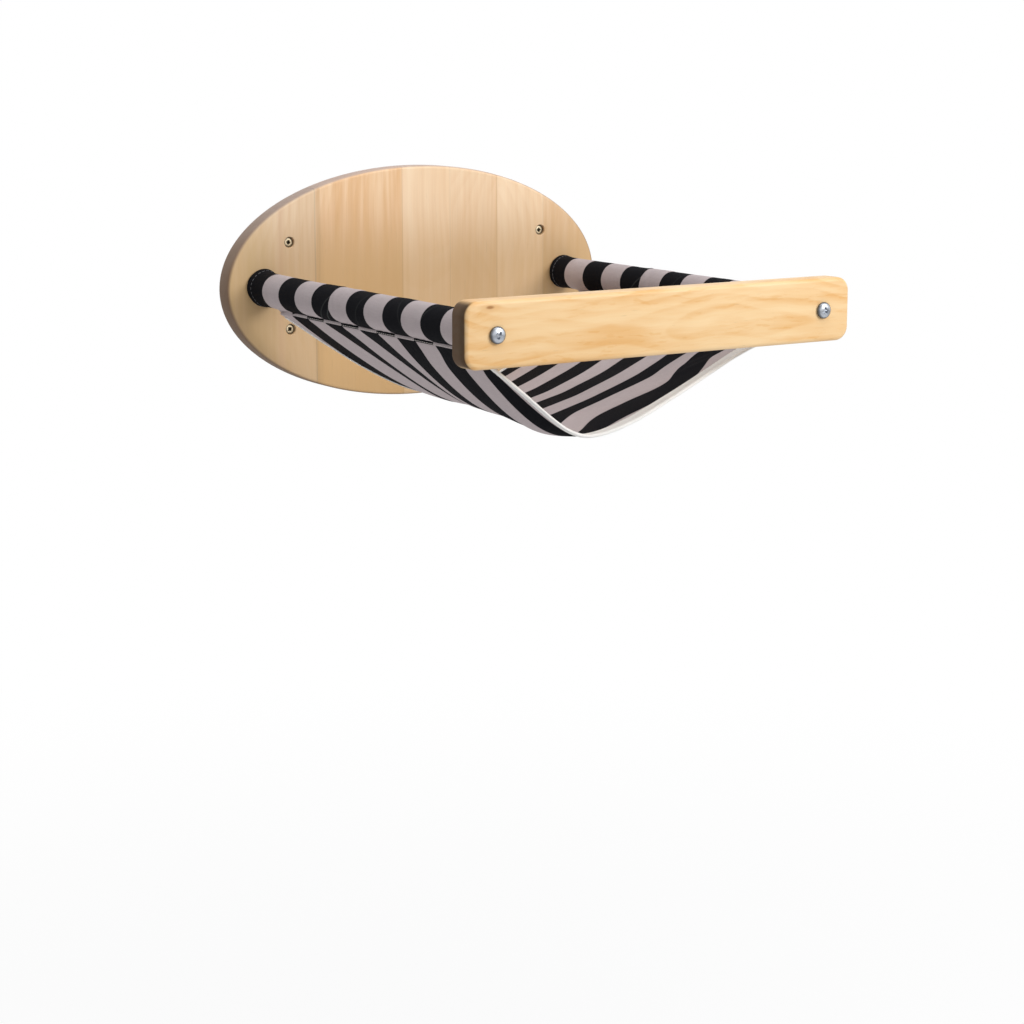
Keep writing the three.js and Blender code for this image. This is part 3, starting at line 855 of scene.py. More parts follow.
def curve_through(table, at):
    """Smooth values between the rows of a table whose first column is the place."""
    places = [row[0] for row in table]
    at = min(max(at, places[0]), places[-1])
    last = len(places) - 2
    index = min(max(sum(place <= at for place in places) - 1, 0), last)

    def slope(row, column):
        low = table[max(row - 1, 0)]
        high = table[min(row + 1, last + 1)]
        return (high[column] - low[column]) / (high[0] - low[0])

    span = places[index + 1] - places[index]
    t = (at - places[index]) / span
    values = []
    for column in range(1, len(table[0])):
        start, end = table[index][column], table[index + 1][column]
        values.append(
            start * (2 * t**3 - 3 * t**2 + 1)
            + end * (3 * t**2 - 2 * t**3)
            + slope(index, column) * span * (t**3 - 2 * t**2 + t)
            + slope(index + 1, column) * span * (t**3 - t**2))
    return values


def hang(share, roundness):
    """A hanging line from 0 at its lowest point to 1 at its end."""
    return (math.hypot(share, roundness) - roundness) / (math.hypot(1, roundness) - roundness)


def sling_smooth(x, along, sag):
    """The cloth without its folds, at a place across the bed and a distance from the board."""
    lowest, depth, round_left, round_right = curve_through(SECTION_SHARES, along / BED_LENGTH)
    lowest_x = lowest * DOWEL_X
    is_left = x < lowest_x
    reach = (-DOWEL_X if is_left else DOWEL_X) - lowest_x
    rise = hang((x - lowest_x) / reach, round_left if is_left else round_right)
    return Vector((x, BOARD_FACE_Y - along, SEAM_Z - sag * depth * (1 - rise)))


# Soft folds pressed into the cloth: from and to as (share of the half span, share of the length),
# then half width and height.
CREASES = (
    ((-0.94, 0.310), (-0.35, 0.335), 8 * MM, 0.3 * MM),
    ((-0.93, 0.395), (-0.40, 0.430), 8 * MM, -0.3 * MM),
    ((-0.96, 0.860), (-0.55, 0.800), 6 * MM, -0.2 * MM),
    ((0.95, 0.930), (0.30, 0.855), 5 * MM, 1.0 * MM),
    ((0.96, 0.870), (0.24, 0.790), 6 * MM, -1.3 * MM),
    ((0.94, 0.790), (0.28, 0.690), 8 * MM, 0.8 * MM),
    ((0.94, 0.600), (0.30, 0.560), 9 * MM, -0.8 * MM),
    ((0.92, 0.400), (0.34, 0.420), 9 * MM, 0.8 * MM),
    ((0.93, 0.250), (0.38, 0.300), 8 * MM, -0.8 * MM),
    ((0.94, 0.150), (0.45, 0.220), 6 * MM, 0.7 * MM),
    ((-0.20, 0.300), (-0.30, 0.650), 12 * MM, -0.3 * MM),
    ((0.10, 0.420), (0.02, 0.780), 12 * MM, -0.6 * MM),
)


def crease_height(x, along):
    total = 0.0
    for start, end, width, height in CREASES:
        a = Vector((start[0] * DOWEL_X, start[1] * BED_LENGTH))
        b = Vector((end[0] * DOWEL_X, end[1] * BED_LENGTH))
        line = b - a
        t = (Vector((x, along)) - a).dot(line) / line.length_squared
        nearest = a + line * min(max(t, 0.0), 1.0)
        distance = (Vector((x, along)) - nearest).length
        fade = smoothstep(t, -0.1, 0.35) * (1 - smoothstep(t, 0.65, 1.1))
        total += height * fade * math.exp(-((distance / width) ** 2))
    return total


def sling_folds(x, along):
    """How far the cloth stands off its smooth form, on its upper side."""
    seam = DOWEL_X - abs(x)
    free = smoothstep(seam, 0.0, 30 * MM)
    pucker_fade = math.exp(-seam / (7 * MM)) * smoothstep(seam, 0.0, 2 * MM)
    puckers = math.sin(along / (1.25 * MM) + 3 * cloudy(along * 60, x * 20)) * 0.22 * MM * pucker_fade
    broad = cloudy(x * 13 + 4.0, along * 19) * blend(0.2 * MM, 0.9 * MM, smoothstep(x, -40 * MM, 60 * MM))
    fine = cloudy(x * 38, along * 47 + 9.0) * 0.14 * MM
    return crease_height(x, along) * smoothstep(seam, 0.0, 14 * MM) + (broad + fine) * free + puckers


def sling_normal(x, along, sag):
    """Unit vector square to the smooth cloth, on its upper side."""
    probe = 0.5 * MM
    inside = min(max(x, -DOWEL_X + probe), DOWEL_X - probe)
    across = sling_smooth(inside + probe, along, sag) - sling_smooth(inside - probe, along, sag)
    forward = sling_smooth(inside, along + probe, sag) - sling_smooth(inside, along - probe, sag)
    return forward.cross(across).normalized()


def sling_point(x, along, sag, lift=0.0):
    """A place on the folded cloth, lifted off it on its upper side."""
    point = sling_smooth(x, along, sag)
    return point + sling_normal(x, along, sag) * (sling_folds(x, along) + lift)


# The sling's free edges: how far each stands in at the seams, how much farther in the middle, and
# how flat the rear edge's curve is there.
REAR_INSET, REAR_CURVE, REAR_POWER = 31 * MM, 27 * MM, 3
FRONT_INSET, FRONT_CURVE = 4.4 * MM, 17 * MM


def rear_edge(x):
    return REAR_INSET + REAR_CURVE * (1 - abs(x / DOWEL_X) ** REAR_POWER)


def front_edge(x):
    return BED_LENGTH - FRONT_INSET - FRONT_CURVE * curve_through(FRONT_EDGE_SHARES, x / DOWEL_X)[0]


# Where the woven stripes' edges lie along the bed as hung, on the left and on the right slope,
# with the number of stripe widths from the first stripe's end. The weight draws them back in front.
STRIPE_EDGES = (
    (0, 24.1 * MM, 24.1 * MM),
    (1, 52.4 * MM, 52.0 * MM),
    (2, 80.8 * MM, 80.0 * MM),
    (3, 113.8 * MM, 107.0 * MM),
    (4, 141.9 * MM, 133.0 * MM),
    (5, 170.4 * MM, 159.0 * MM),
    (6, 198.1 * MM, 184.0 * MM),
    (7, 225.7 * MM, 208.0 * MM),
    (8, 253.0 * MM, 234.0 * MM),
    (9, 280.1 * MM, 257.0 * MM),
    (10, 306.9 * MM, 273.5 * MM),
    (11, 334.1 * MM, 284.0 * MM),
    (12, 345.2 * MM, 309.0 * MM),
    (13, 370.0 * MM, 338.0 * MM),
)

# How much of the way from the left slope's stripes to the right slope's, across the half span.
STRIPE_TURN_SHARES = (
    (-0.60, 0.00),
    (-0.48, 0.00),
    (-0.38, 0.07),
    (-0.15, 0.48),
    (0.05, 0.53),
    (0.30, 0.50),
    (0.45, 0.76),
    (0.62, 1.00),
    (1.00, 1.00),
)

# Where the sling's edges are tucked up outside each sleeve's fin, below the seam strip.
TUCK_OUTSIDE = 1.3 * MM
TUCK_HEIGHT = 3.0 * MM


def flat_along(x, along, cloth):
    """How far along the flat cloth a place on the sling lies."""

    def from_edges(column):
        rows = [(row[column], row[0]) for row in STRIPE_EDGES]
        return curve_through(rows, along)[0] * cloth.stripe_width + cloth.first_stripe_end

    turn = curve_through(STRIPE_TURN_SHARES, x / DOWEL_X)[0]
    hung = blend(from_edges(1), from_edges(2), turn)
    if x < 0:
        return blend(along, hung, smoothstep(DOWEL_X + x, 0.0, 16 * MM))
    return blend(blend(along, hung, 0.7), hung, smoothstep(DOWEL_X - x, 0.0, 40 * MM))


def hem_form(is_front, cloth):
    """Widths of a hem's upper and lower faces, and how far each layer stands off the sling."""
    if is_front:
        return cloth.front_hem_width, cloth.front_hem_under, cloth.thickness * 1.35
    return cloth.hem_width, cloth.hem_width, cloth.thickness * 0.95


# The sleeves' form

SLEEVE_ROUND_WAY = 2 * math.pi * SLEEVE_RADIUS
SLEEVE_HEM = 6 * MM
SLEEVE_SLIT = 0.02 * MM

# Below the dowel: how far under the tube the sleeve's flanks meet, and where the sewn fin ends.
SLEEVE_TIP_DROP = 1.1 * MM
FIN_FOOT_Z = STRIP_LOW.z + 0.6 * MM

# Slanting creases in the sleeves: share of the bed's length, lean, and height.
SLEEVE_CREASES = (
    (0.466, -1.05, 0.42 * MM),
    (0.445, -1.20, 0.26 * MM),
    (0.395, 0.62, 0.30 * MM),
    (0.560, -0.50, 0.10 * MM),
    (0.690, 0.60, 0.10 * MM),
    (0.850, -0.70, 0.12 * MM),
)

# How far the sleeves stand off the dowels above: all along, and as much more at the board.
SLEEVE_SLACK = {-1: (0.9 * MM, 2.2 * MM), 1: (0.3 * MM, 0.6 * MM)}


def sleeve_point(side, u, along, thickness):
    """A point of a sleeve's middle layer: u runs round from the seam to the seam."""
    radius = SLEEVE_RADIUS - thickness / 2
    seamed = smoothstep(along, REAR_INSET - 7 * MM, REAR_INSET + 2 * MM)
    tip_z = -(radius + SLEEVE_TIP_DROP)
    open_angle = math.acos(radius / abs(tip_z))
    fin = abs(FIN_FOOT_Z - tip_z)
    flank = math.sqrt(tip_z**2 - radius**2)
    arc = radius * (2 * math.pi - 2 * open_angle)
    total = arc + 2 * (fin + flank)
    walked = u * total
    half = thickness / 2 + SLEEVE_SLIT
    mirror = 1.0
    if walked > total / 2:
        walked = total - walked
        mirror = -1.0
    if walked < fin:
        seam_point = (half, FIN_FOOT_Z + walked)
    elif walked < fin + flank:
        t = (walked - fin) / flank
        touch = (radius * math.sin(open_angle), -radius * math.cos(open_angle))
        seam_point = (blend(half, touch[0], t), blend(tip_z, touch[1], t))
    else:
        angle = open_angle + (walked - fin - flank) / radius
        seam_point = (radius * math.sin(angle), -radius * math.cos(angle))
    tube_angle = 2 * math.pi * min(u, 1 - u)
    tube_point = (max(radius * math.sin(tube_angle), SLEEVE_SLIT), -radius * math.cos(tube_angle))
    x = blend(tube_point[0], seam_point[0], seamed) * mirror
    z = blend(tube_point[1], seam_point[1], seamed)
    reach = math.hypot(x, z)
    grown = 1 + sleeve_swell(side, u, along) / reach if reach > radius * 0.98 else 1.0
    return Vector((side * DOWEL_X + x * grown, BOARD_FACE_Y - along, z * grown))


def sleeve_swell(side, u, along):
    """How far the canvas stands off its smooth tube."""
    from_seam = min(u, 1 - u) * SLEEVE_ROUND_WAY
    start = along - (BOARD_FACE_Y - SLEEVE_HIGH.y)
    end = (BOARD_FACE_Y - SLEEVE_LOW.y) - along
    hem_step = 0.45 * MM * (1 - smoothstep(min(start, end), SLEEVE_HEM - 0.5 * MM, SLEEVE_HEM + 0.5 * MM))
    all_along, at_board = SLEEVE_SLACK[side]
    upward = math.cos(2 * math.pi * (u - 0.5 + 0.09 * side))
    flare = (1.0 if side < 0 else 0.5) * MM * (1 - smoothstep(start, 0, SLEEVE_HEM))
    flare *= smoothstep(upward, -1.0, 0.2)
    slack = (all_along + at_board * math.exp(-start / (22 * MM))) * smoothstep(upward, -0.1, 1.0)
    free = smoothstep(min(start, end), 2 * MM, 12 * MM)
    gather = smoothstep(along, REAR_INSET, REAR_INSET + 10 * MM) * math.exp(-from_seam / (9 * MM))
    puckers = math.sin(along / (1.5 * MM) + 2.5 * cloudy(along * 50, side * 3.0)) * 0.28 * MM * gather
    soft = cloudy(u * 5 + side * 7, along * 34) * 0.28 * MM
    soft += cloudy(u * 14, along * 90, side * 2.0) * 0.12 * MM
    scuffs = 0.0
    for place, lean, height in SLEEVE_CREASES:
        offset = along - place * BED_LENGTH - lean * (u - 0.5) * SLEEVE_ROUND_WAY
        scuffs += height * math.exp(-((offset / (1.6 * MM)) ** 2))
    scuffs *= smoothstep(from_seam, 8 * MM, 20 * MM)
    return hem_step + flare + slack + puckers + (soft + scuffs) * free


# Operators: the wooden pieces


class BED_OT_saw_backboard(bpy.types.Operator):
    """Saw the oval back board, ease its edges and drill it"""

    bl_idname = "bed.saw_backboard"
    bl_label = "Saw the back board"

    def execute(self, context):
        wood = context.scene.bed_wood
        size = BOARD_HIGH - BOARD_LOW
        middle_y = (BOARD_LOW.y + BOARD_HIGH.y) / 2
        deselect_all()
        bpy.ops.mesh.primitive_cylinder_add(
            vertices=192, radius=1, depth=size.y, end_fill_type="NGON",
            location=(0, middle_y, 0), rotation=(math.pi / 2, 0, 0))
        board = added("back_board")
        bpy.ops.transform.resize(
            value=(size.x / 2, 1, size.z / 2), center_override=(0, middle_y, 0))
        apply_place(board)
        round_edges(
            board, wood.board_edge_round, 6,
            lambda edge: max(len(face.verts) for face in edge.link_faces) > 4)
        for node in WALL_SCREWS:
            low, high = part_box(node)
            drill(board, (low.x + high.x) / 2, (low.z + high.z) / 2, 40, self.screw_hole(low, high))
        for _, name in SIDES:
            low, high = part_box(f"rear_bolt_{name}")
            drill(board, (low.x + high.x) / 2, 0, 48, self.bolt_hole())
        smooth(board, 35)
        dress(board, board_finish(wood), "board_pine", "backboard")
        return {"FINISHED"}

    def screw_hole(self, low, high):
        """Steps of a countersunk hole round a wall screw, from the board's face to its back."""
        head = (high.z - low.z) / 2 + FIT_GAP
        shank = SCREW_SHANK_RADIUS + FIT_GAP
        eased = 0.5 * MM
        cone_top = low.y + SCREW_HEAD_RIM + FIT_GAP
        return (
            (head + eased, BOARD_FACE_Y - CUT_OVERRUN),
            (head + eased, BOARD_FACE_Y - 0.01 * MM),
            (head, BOARD_FACE_Y + eased),
            (head, cone_top),
            (shank, cone_top + SCREW_HEAD_CONE),
            (shank, CUT_OVERRUN),
        )

    def bolt_hole(self):
        """Steps of a hole for a bolt, with a flat-bottomed sink in the board's back."""
        return (
            (BOLT_HOLE_RADIUS, BOARD_FACE_Y - CUT_OVERRUN),
            (BOLT_HOLE_RADIUS, -BOLT_SINK_DEPTH),
            (BOLT_SINK_RADIUS, -BOLT_SINK_DEPTH),
            (BOLT_SINK_RADIUS, CUT_OVERRUN),
        )


class BED_OT_shape_front_bar(bpy.types.Operator):
    """Shape the front bar, with rounded corners and eased edges"""

    bl_idname = "bed.shape_front_bar"
    bl_label = "Shape the front bar"

    def execute(self, context):
        wood = context.scene.bed_wood
        size = BAR_HIGH - BAR_LOW
        deselect_all()
        bpy.ops.mesh.primitive_cube_add(size=1, location=(BAR_LOW + BAR_HIGH) / 2, scale=size)
        bar = added("bar_in_front")
        apply_place(bar)

        def runs_back(edge):
            a, b = (vert.co for vert in edge.verts)
            return abs(a.y - b.y) > size.y / 2

        def is_rim(edge):
            return {len(face.verts) > 4 for face in edge.link_faces} == {True, False}

        round_edges(bar, wood.bar_corner_radius, 14, runs_back)
        round_edges(bar, wood.bar_edge_round, 7, is_rim)
        for side, _ in SIDES:
            drill(bar, side * DOWEL_X, 0, 40, (
                (BOLT_HOLE_RADIUS, BAR_LOW.y - CUT_OVERRUN),
                (BOLT_HOLE_RADIUS, BAR_HIGH.y + CUT_OVERRUN)))
        smooth(bar, 35)
        dress(bar, bar_finish(wood), "bar_pine", "front_bar")
        return {"FINISHED"}


class BED_OT_finish_dowels(bpy.types.Operator):
    """Finish the dowels and the threaded inserts of the frame"""

    bl_idname = "bed.finish_dowels"
    bl_label = "Finish the dowels"

    def execute(self, context):
        wood_material = dowel_finish(context.scene.bed_wood)
        brass = plated_finish("turned_brass", context.scene.bed_metal.brass, roughness=0.34)
        for name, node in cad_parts.items():
            if name.startswith("dowel"):
                paint(node, wood_material)
            if name.startswith("insert"):
                paint(node, brass)
        return {"FINISHED"}


# Operators: the fasteners


def cross_cutter(face_y, span, arm, depth):
    """Two tapered blades that cut a cross recess into a head whose face looks along -Y."""
    blades = []
    for quarter in (0, math.pi / 2):
        deselect_all()
        bpy.ops.mesh.primitive_cube_add(
            size=1, location=(0, face_y + depth / 2 - 0.5 * MM, 0), scale=(span, depth + 1 * MM, arm))
        blade = added("blade")
        apply_place(blade)
        middle_y = face_y + depth / 2
        pick(blade, "faces", lambda face: face.calc_center_median().y > middle_y)
        bpy.ops.transform.resize(value=(0.42, 1, 0.7), center_override=(0, face_y + depth, 0))
        leave_edit()
        blade.data.transform(Matrix.Rotation(quarter, 4, "Y"))
        blades.append(blade)
    return blades


# How far the cross recess of each bolt is turned, in degrees.
RECESS_TURNS = {"left": 24, "right": -17}


class BED_OT_turn_bolts(bpy.types.Operator):
    """Turn the domed bolt with its cross recess, and copy it to all four places"""

    bl_idname = "bed.turn_bolts"
    bl_label = "Turn the bolts"

    def execute(self, context):
        metal = context.scene.bed_metal
        low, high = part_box("front_bolt_right")
        # Painted shade: the bolt heads darken towards their rim and a little in their cross recess.
        material = plated_finish(
            "zinc_plate", metal.bright_zinc, roughness=0.24, rim=(high.z - low.z) / 2, recess=0.85)
        for group, front in (("front_bolt", True), ("rear_bolt", False)):
            low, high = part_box(group + "_right")
            bolt = self.turned_bolt((high.z - low.z) / 2, high.y - low.y, metal.round_sides)
            smooth(bolt, 28)
            note_radius(bolt)
            for side, name in SIDES:
                turn_round = Matrix.Identity(4) if front else Matrix.Rotation(math.pi, 4, "Z")
                start_y = low.y if front else high.y
                place = Matrix.Translation((side * DOWEL_X, start_y, 0)) @ turn_round
                spin = Matrix.Rotation(math.radians(RECESS_TURNS[name]), 4, "Y")
                copy = copy_piece(bolt, f"{group}_domed_{name}", place @ spin)
                dress(copy, material, "bright_zinc", f"{group}_{name}")
            discard(bolt)
        return {"FINISHED"}

    def turned_bolt(self, head_radius, length, sides):
        """A bolt whose dome's top lies at y = 0 and whose shank runs towards +Y."""
        dome_height = BOLT_HEAD_HEIGHT - BOLT_HEAD_RIM
        eased = 0.25 * MM
        chamfer = 1 * MM
        steps = []
        dome_steps = 9
        for step in range(1, dome_steps + 1):
            angle = step / dome_steps * math.pi / 2
            steps.append((head_radius * math.sin(angle), dome_height * (1 - math.cos(angle))))
        steps += [
            (head_radius, BOLT_HEAD_HEIGHT - eased),
            (head_radius - eased, BOLT_HEAD_HEIGHT),
            (BOLT_SHANK_RADIUS, BOLT_HEAD_HEIGHT),
            (BOLT_SHANK_RADIUS, length - chamfer),
            (BOLT_SHANK_RADIUS - chamfer, length),
        ]
        bolt = turn("bolt", steps, sides)
        for blade in cross_cutter(face_y=0.1 * MM, span=7.8 * MM, arm=2.3 * MM, depth=1.7 * MM):
            cut(bolt, blade)
        return bolt


class BED_OT_turn_wall_screws(bpy.types.Operator):
    """Turn the countersunk wall screw with its thread, and copy it to all four holes"""

    bl_idname = "bed.turn_wall_screws"
    bl_label = "Turn the wall screws"

    def execute(self, context):
        metal = context.scene.bed_metal
        low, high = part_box(WALL_SCREWS[0])
        head_radius = (high.z - low.z) / 2
        # Painted shade: the screw heads darken past the rim of their face and deeply in their recess.
        material = plated_finish(
            "yellow_zinc_plate", metal.yellow_zinc, roughness=0.42, rim=head_radius * 0.9, recess=0.18)
        screw = self.turned_screw(head_radius, high.y - low.y, metal.round_sides)
        smooth(screw, 30)
        note_radius(screw)
        for number, node in enumerate(WALL_SCREWS):
            low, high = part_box(node)
            place = Matrix.Translation(((low.x + high.x) / 2, low.y, (low.z + high.z) / 2))
            spin = Matrix.Rotation(math.radians(37 * number + 11), 4, "Y")
            copy = copy_piece(screw, node.replace("screw", "screw_threaded"), place @ spin)
            dress(copy, material, "yellow_zinc", node)
        discard(screw)
        return {"FINISHED"}

    def turned_screw(self, head_radius, length, sides):
        """A screw whose head's face lies at y = 0 and whose point is at y = length."""
        thread_end = length - SCREW_TIP_LENGTH
        screw = turn("screw", (
            (head_radius - 0.9 * MM, 0),
            (head_radius - 0.2 * MM, SCREW_HEAD_RIM * 0.5),
            (head_radius, SCREW_HEAD_RIM),
            (SCREW_SHANK_RADIUS, SCREW_HEAD_RIM + SCREW_HEAD_CONE),
            (SCREW_SHANK_RADIUS, SCREW_THREAD_START),
            (SCREW_CORE_RADIUS, SCREW_THREAD_START + 1 * MM),
            (SCREW_CORE_RADIUS, thread_end),
            (0.25 * MM, length - 0.2 * MM),
        ), sides // 2)
        for blade in cross_cutter(face_y=0, span=4.8 * MM, arm=1.7 * MM, depth=2.4 * MM):
            cut(screw, blade)
        self.add_thread(screw, thread_end)
        return screw

    def add_thread(self, screw, end):
        """A sharp helical ridge round the core, joined to it."""
        ridge = SCREW_SHANK_RADIUS - SCREW_CORE_RADIUS
        start_x = SCREW_CORE_RADIUS + ridge * 0.12
        start_y = SCREW_THREAD_START + 1.2 * MM
        deselect_all()
        bpy.ops.mesh.primitive_circle_add(
            vertices=3, radius=ridge * 0.9, fill_type="NOTHING",
            location=(start_x, start_y, 0), rotation=(0, 0, -math.pi / 2))
        thread = added("thread")
        apply_place(thread)
        apply_modifier(
            thread, "SCREW", axis="Y", screw_offset=SCREW_THREAD_PITCH, steps=20, render_steps=20,
            iterations=int((end - SCREW_THREAD_START) / SCREW_THREAD_PITCH))
        pick(thread, "edges", lambda edge: len(edge.link_faces) == 1)
        bpy.ops.mesh.fill()
        leave_edit()
        face_outwards(thread)
        apply_modifier(screw, "BOOLEAN", operation="UNION", solver="EXACT", object=thread)
        discard(thread)


# Operators: the canvas

# What the flat sheets have besides the form that shows: length that the sling's curved edges and
# the sagged hems take up, and the width of the seam strips' tape before it is folded.
SLING_CURVE = 34 * MM
TAPE_WIDTH = 10 * MM

# The sling's free edges with the way from each into the sling.
FREE_EDGES = (("rear", rear_edge, 1), ("front", front_edge, -1))


class BED_OT_sew_sleeves(bpy.types.Operator):
    """Sew a canvas sleeve round each dowel, drawn in at the seam below it"""

    bl_idname = "bed.sew_sleeves"
    bl_label = "Sew the sleeves"

    columns = 128
    rows = 240

    def execute(self, context):
        cloth = context.scene.bed_cloth
        material = canvas_finish("woven_sleeves", cloth, True, cloth.pale_colour, SLEEVE_CREASES)
        for side, name in SIDES:
            piece = sheet_from_grid(
                f"canvas_sleeve_{name}", self.columns, self.rows,
                lambda u, v: sleeve_point(side, u, self.along(v), cloth.thickness),
                lambda u, v: (u * SLEEVE_ROUND_WAY, self.along(v)))
            thicken(piece, cloth.thickness)
            dress(piece, material, "striped_canvas", f"sleeve_{name}")
        return {"FINISHED"}

    def along(self, v):
        """Distance from the board's face, for a share of the sleeve's length."""
        return BOARD_FACE_Y - blend(SLEEVE_HIGH.y, SLEEVE_LOW.y, v)


class BED_OT_hang_sling(bpy.types.Operator):
    """Hang the sling between the two seams"""

    bl_idname = "bed.hang_sling"
    bl_label = "Hang the sling"

    columns = 168
    rows = 176
    tuck_share = 0.02
    tuck_growth = (REAR_INSET - 2 * MM, REAR_INSET + 18 * MM)

    def execute(self, context):
        cloth = context.scene.bed_cloth
        sling = sheet_from_grid(
            "canvas_sling", self.columns, self.rows,
            lambda u, v: self.place(u, v, cloth),
            lambda u, v: self.flat_place(u, v, cloth))
        thicken(sling, cloth.thickness)
        material = canvas_finish("woven_stripes", cloth, True, cloth.pale_colour)
        dress(sling, material, "striped_canvas", "sling_panel")
        self.declare(sling, cloth)
        return {"FINISHED"}

    def across(self, u):
        """Place across the bed, and how far up beside the sleeve's seam the cloth is tucked."""
        reach = DOWEL_X + TUCK_OUTSIDE
        if u < self.tuck_share:
            return -reach, 1 - u / self.tuck_share
        if u > 1 - self.tuck_share:
            return reach, 1 - (1 - u) / self.tuck_share
        share = (u - self.tuck_share) / (1 - 2 * self.tuck_share)
        return blend(-reach, reach, share), 0.0

    def place(self, u, v, cloth):
        x, tuck = self.across(u)
        along = blend(rear_edge(x), front_edge(x), v)
        point = sling_point(x, along, cloth.sag)
        point.z += tuck * TUCK_HEIGHT * smoothstep(along, *self.tuck_growth)
        return point

    def flat_place(self, u, v, cloth):
        x, tuck = self.across(u)
        along = blend(rear_edge(x), front_edge(x), v)
        slope = self.half_widths(cloth)[0 if x < 0 else 1]
        return x / DOWEL_X * slope - math.copysign(tuck * TUCK_HEIGHT, -x), flat_along(x, along, cloth)

    def half_widths(self, cloth):
        """Length of the cloth from the middle to the left and to the right seam."""
        if not hasattr(self, "widths"):
            middle = BED_LENGTH / 2
            steps = 60
            self.widths = []
            for side in (-1, 1):
                places = [side * DOWEL_X * step / steps for step in range(steps + 1)]
                points = [sling_smooth(x, middle, cloth.sag) for x in places]
                self.widths.append(sum((b - a).length for a, b in zip(points, points[1:])))
        return self.widths

    def declare(self, sling, cloth):
        width = sum(self.half_widths(cloth)) + 2 * TUCK_HEIGHT
        length = front_edge(0) - rear_edge(0) + SLING_CURVE


class BED_OT_turn_edge_hems(bpy.types.Operator):
    """Turn a folded hem over each free edge of the sling"""

    bl_idname = "bed.turn_edge_hems"
    bl_label = "Turn the edge hems"

    columns = 240
    rows = 24
    end_inset = 2.4 * MM
    ease = 4 * MM

    def execute(self, context):
        cloth = context.scene.bed_cloth
        material = canvas_finish("plain_canvas", cloth, False, cloth.hem_colour)
        for name, edge, inward in FREE_EDGES:
            upper, lower, _ = hem_form(inward < 0, cloth)
            piece = sheet_from_grid(
                f"folded_hem_{name}", self.columns, self.rows,
                lambda u, v: self.place(u, v, edge, inward, cloth),
                lambda u, v: (u * 2 * DOWEL_X, v * (upper + lower)))
            thicken(piece, cloth.thickness * 0.8)
            dress(piece, material, "hem_canvas", f"edge_hem_{name}")
        return {"FINISHED"}

    def place(self, u, v, edge, inward, cloth):
        """v runs from the hem's upper inner line over the sling's edge to its lower inner line."""
        x = blend(-1, 1, u) * (DOWEL_X - self.end_inset)
        upper, lower, fold = hem_form(inward < 0, cloth)
        flat = upper - fold
        lying = cloth.thickness * 0.9
        walked = v * (flat + lower - fold + math.pi * fold)
        if walked < flat:
            inset = flat - walked
            height = blend(fold, lying, smoothstep(inset, 0, self.ease))
        elif walked < flat + math.pi * fold:
            angle = (walked - flat) / fold
            inset, height = -fold * math.sin(angle), fold * math.cos(angle)
        else:
            inset = walked - flat - math.pi * fold
            height = -blend(fold, lying, smoothstep(inset, 0, self.ease))
        ripple = cloudy(x * 70, inward * 5.0) * 0.25 * MM * smoothstep(DOWEL_X - abs(x), 0, 10 * MM)
        along = edge(x) + inward * max(inset, 0.0)
        point = sling_point(x, along, cloth.sag, height)
        point.y -= inward * min(inset, 0.0)
        point.z += ripple
        return point


# The seam strip is a tape folded double, with both raw edges turned in. It comes out from under the
# sleeve in a taper. Its section is given in layers outwards and as shares of its height.
STRIP_START = 55 * MM
STRIP_TAPER = 9 * MM
STRIP_FOOT_Z = STRIP_LOW.z + 1.4 * MM
STRIP_HEIGHT = 2.3 * MM
STRIP_OUT = 2.45 * MM
TAPE_LAYER = 0.42 * MM
TAPE_SECTION = (
    (0.5, 0.15), (0.5, 0.92), (1.0, 1.00), (1.5, 0.92), (1.5, 0.20), (1.1, 0.05), (0.0, 0.00),
    (-1.1, 0.05), (-1.5, 0.20), (-1.5, 0.92), (-1.0, 1.00), (-0.5, 0.92), (-0.5, 0.15),
)


def strip_wave(side, along):
    """How far a seam strip strays outwards."""
    return cloudy(along * 45, side * 4.0) * 0.25 * MM


class BED_OT_sew_seam_strips(bpy.types.Operator):
    """Sew the folded strip along the outer side of each sleeve's seam"""

    bl_idname = "bed.sew_seam_strips"
    bl_label = "Sew the seam strips"

    columns = 220
    rows = 40

    def execute(self, context):
        cloth = context.scene.bed_cloth
        for side, name in SIDES:
            piece = sheet_from_grid(
                f"folded_seam_strip_{name}", self.columns, self.rows,
                lambda u, v: self.place(side, u, v),
                lambda u, v: (v * TAPE_WIDTH, self.along(u) + cloth.stripe_width))
            thicken(piece, TAPE_LAYER * 0.85)
            dress(piece, bpy.data.materials["woven_stripes"], "hem_canvas", f"seam_hem_{name}")
            self.along(1) - self.along(0)
        return {"FINISHED"}

    def along(self, u):
        return blend(STRIP_START, BOARD_FACE_Y - STRIP_LOW.y, u)

    def place(self, side, u, v):
        """v runs through the tape's section, from one turned-in raw edge to the other."""
        along = self.along(u)
        grown = smoothstep(along, STRIP_START, STRIP_START + STRIP_TAPER)
        height = blend(0.35, 1.0, grown) * STRIP_HEIGHT
        section = [(out * TAPE_LAYER, z * height) for out, z in TAPE_SECTION]
        steps = [math.dist(a, b) for a, b in zip(section, section[1:])]
        left = v * sum(steps)
        for (a, b), step in zip(zip(section, section[1:]), steps):
            if left <= step or b is section[-1]:
                out, z = (blend(a[axis], b[axis], min(left / step, 1)) for axis in (0, 1))
                break
            left -= step
        wave = strip_wave(side, along)
        x = side * (DOWEL_X + STRIP_OUT + out + wave)
        return Vector((x, BOARD_FACE_Y - along, STRIP_FOOT_Z + z + wave * 0.6))


